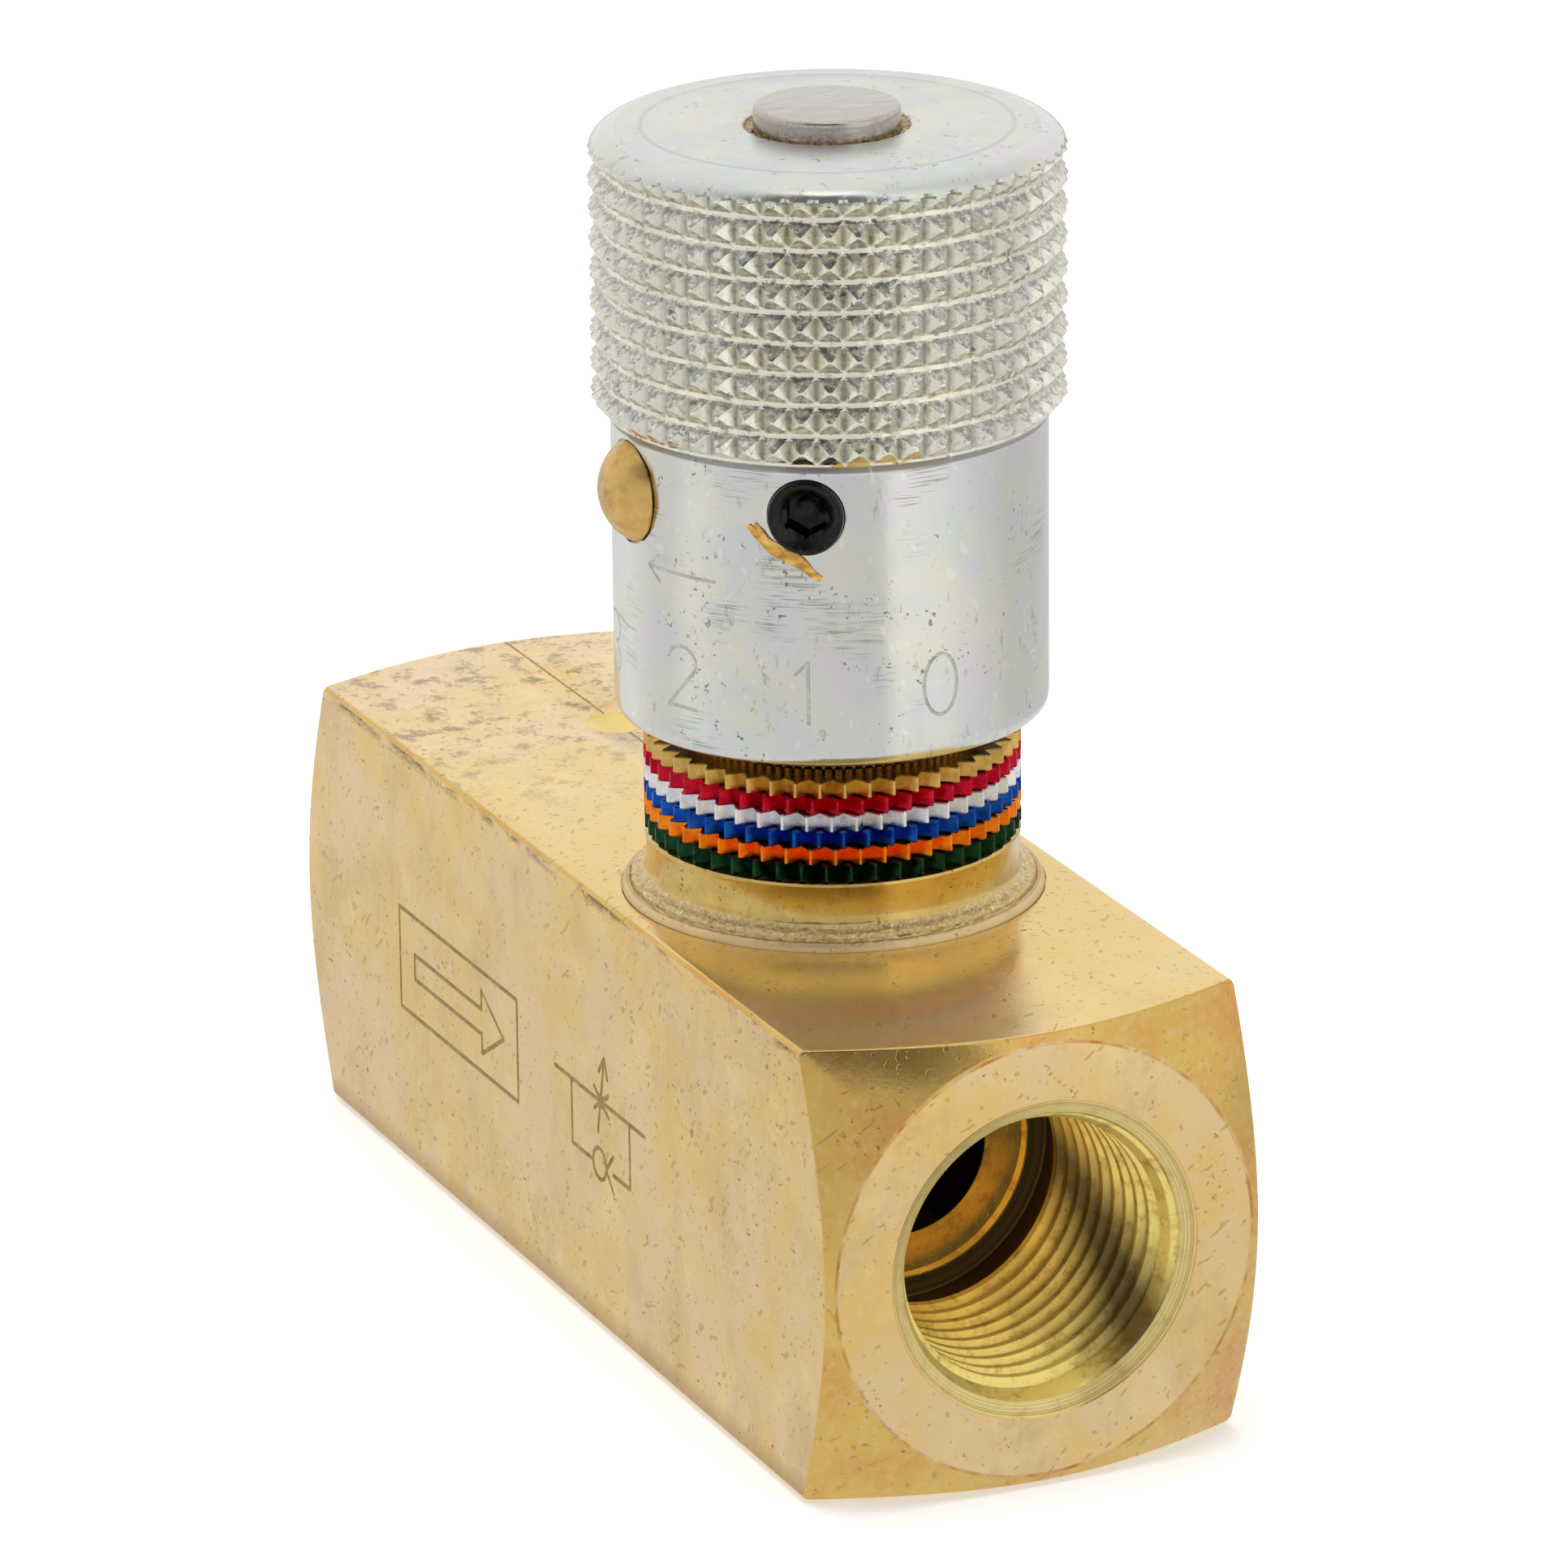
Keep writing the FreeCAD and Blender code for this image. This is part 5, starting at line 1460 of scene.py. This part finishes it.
ANODISED = {
    "gold": (tone(186, 146, 70), tone(222, 184, 104)),
    "red": (tone(160, 14, 36), tone(212, 30, 56)),
    "silver": (tone(206, 206, 208), tone(236, 236, 240)),
    "blue": (tone(14, 52, 136), tone(30, 96, 196)),
    "orange": (tone(232, 104, 12), tone(252, 150, 36)),
    "green": (tone(16, 44, 28), tone(34, 76, 50)),
}
RUBBER = (tone(18, 18, 19), tone(38, 38, 40), (0.5, 0.7), 0.0)
STEEL = (tone(140, 142, 146), tone(196, 197, 200), (0.2, 0.34), 1.0)
INNER = {
    "bonnet_seal": ("bonnet_rubber", *RUBBER),
    "needle_o_ring": ("needle_rubber", *RUBBER),
    "needle_backup_ring": ("white_plastic", tone(212, 210, 202), tone(234, 232, 226), (0.4, 0.6), 0.0),
    "lock_pad": ("pad_brass", tone(176, 136, 62), tone(214, 176, 98), (0.28, 0.42), 1.0),
    "check_poppet": ("poppet_brass", tone(190, 152, 80), tone(222, 188, 110), (0.2, 0.34), 1.0),
    "spring_retainer": ("retainer_brass", tone(186, 146, 70), tone(222, 186, 108), (0.24, 0.4), 1.0),
    "retaining_ring": ("ring_steel", tone(70, 70, 72), tone(112, 112, 114), (0.3, 0.46), 1.0),
}


# Camera, light and floor

CAMERA_AZIMUTH, CAMERA_ELEVATION, CAMERA_ROLL = 65.847, 19.093, -0.586
CAMERA_PLACE = (455.63, -207.22, 204.25)
LENS = 223.41
# What the metal mirrors: degrees to the right of the camera, and a brightness. The cards lie on
# the table, past the stretch of plain paper that the valve stands on.
CARDS = (
    (-180, 0.72), (-128, 0.95), (-106, 0.8), (-89, 0.78), (-78, 0.94), (-68, 0.92), (-60, 0.84),
    (-35, 0.78), (26, 0.72), (31, 1.06), (58, 0.98), (74, 0.86), (89, 0.76), (106, 0.66),
    (180, 0.7))
HORIZON = ((-180, 1.0), (-110, 0.9), (-70, 0.72), (28, 0.7), (34, 1.05), (80, 0.9), (180, 1.0))
UPPER = (
    (-180, 1.0), (-120, 0.95), (-75, 0.8), (-52, 0.55), (-38, 0.2), (24, 0.16), (33, 0.22),
    (39, 1.15), (70, 0.95), (110, 0.8), (180, 1.0))
PAPER = 0.84
CARDS_START = (0.084, 0.098)
CEILING = 1.5
WHITE = (1.0, 1.0, 1.0)


def panels(nodes, x, y, stops):
    """A brightness that depends on how far round from the camera a direction lies."""
    turn = TURN / 4 - math.radians(CAMERA_AZIMUTH)
    along = x * math.cos(turn) - y * math.sin(turn)
    across = x * math.sin(turn) + y * math.cos(turn)
    bearing = (nodes.math("ARCTAN2", across, along) + TURN / 2) / TURN
    return nodes.ramp(bearing, *(((angle + 180) / 360, level) for angle, level in stops))


def camera():
    """The viewpoint: a long lens, a little above the valve's near corner."""
    azimuth, elevation, roll = (
        math.radians(a) for a in (CAMERA_AZIMUTH, CAMERA_ELEVATION, CAMERA_ROLL))
    right = Vector((math.cos(azimuth), math.sin(azimuth), 0))
    back = Vector((
        math.sin(azimuth) * math.cos(elevation), -math.cos(azimuth) * math.cos(elevation),
        math.sin(elevation)))
    up = back.cross(right)
    turned_right = right * math.cos(roll) + up * math.sin(roll)
    turned_up = up * math.cos(roll) - right * math.sin(roll)
    data = bpy.data.cameras.new("camera")
    data.lens = LENS
    data.sensor_width = 36
    data.clip_start = 0.01
    made = bpy.data.objects.new("camera", data)
    made.matrix_world = Matrix((turned_right, turned_up, back)).transposed().to_4x4()
    made.location = Vector(CAMERA_PLACE) * MM
    bpy.context.scene.collection.objects.link(made)
    bpy.context.scene.camera = made


def overhead_light():
    """A soft light above. The metal doesn't mirror it, only what is round the valve."""
    data = bpy.data.lights.new("overhead", "AREA")
    data.size = 0.5
    data.energy = 2.5
    made = bpy.data.objects.new("overhead", data)
    made.location = (0.05, -0.1, 0.7)
    aim = Vector((0, 0, 0.03)) - made.location
    made.rotation_euler = aim.to_track_quat("-Z", "Y").to_euler()
    made.visible_glossy = False
    bpy.context.scene.collection.objects.link(made)


def studio_world():
    """White card round the valve, and a dark gap where the camera stands."""
    world = bpy.data.worlds.new("studio")
    bpy.context.scene.world = world
    world.use_nodes = True
    nodes = Nodes(world.node_tree, "Generated")
    x, y, z = nodes.parts(nodes.place)
    sides = nodes.mix(
        nodes.level(z, 0.44, 0.54), panels(nodes, x, y, HORIZON), panels(nodes, x, y, UPPER))
    mirrored = nodes.mix(nodes.level(z, 0.978, 0.994), sides, (CEILING,) * 3)
    shown = nodes.mix(nodes.node("LightPath", "Is Camera Ray"), mirrored, WHITE)
    nodes.put(nodes.tree.nodes["Background"].inputs[0], shown)


def floor_look():
    """White paper to the camera. What mirrors it sees grey and white cards lying further out."""
    look = Look("floor", 0.0, 0.9)
    x, y, _ = look.split()
    look.finish(look.mix(look.noise(30.0, 3), tone(238, 238, 238), tone(243, 243, 243)), 0.9)
    look.set(Emission_Color=WHITE, Emission_Strength=0.3)
    near, far = (edge / MM for edge in CARDS_START)
    beyond = look.level(look.reach(x, y), near, far)
    mirrored = look.mix(beyond, (PAPER,) * 3, panels(look, x, y, CARDS))
    cards = look.node("Emission", Color=mirrored)
    chosen = look.tree.nodes.new("ShaderNodeMixShader")
    paper = Value(look, look.shader.outputs[0])
    seen = look.node("LightPath", "Is Camera Ray")
    for index, value in enumerate((seen, cards, paper)):
        look.put(chosen.inputs[index], value)
    look.put(look.output.inputs[0], Value(look, chosen.outputs[0]))
    return look.material


def stage():
    made = bmesh.new()
    bmesh.ops.create_grid(made, x_segments=2, y_segments=2, size=3.0)
    bmesh.ops.translate(made, verts=made.verts, vec=(0, 0, -0.0002))
    floor = new_object("floor", made)
    floor.data.materials.append(floor_look())
    studio_world()
    overhead_light()
    bpy.context.scene.view_settings.view_transform = "Standard"


# The whole scene

camera()
stage()
bar([brass_look(), engraved_look()])
bonnet(bonnet_look())
for ring_name, (ring_deep, ring_bright) in ANODISED.items():
    scale_ring(ring_name, anodised_look(ring_name, ring_deep, ring_bright))
knob([zinc_look(), stamped_look()])
stem(steel_look())
set_screw(oxide_look())
dome(gold_zinc_look())
sliver(compound_look())
return_spring(inner_look("spring_steel", *STEEL))
for inner_node, inner_values in INNER.items():
    dress(inner_node, inner_look(*inner_values))
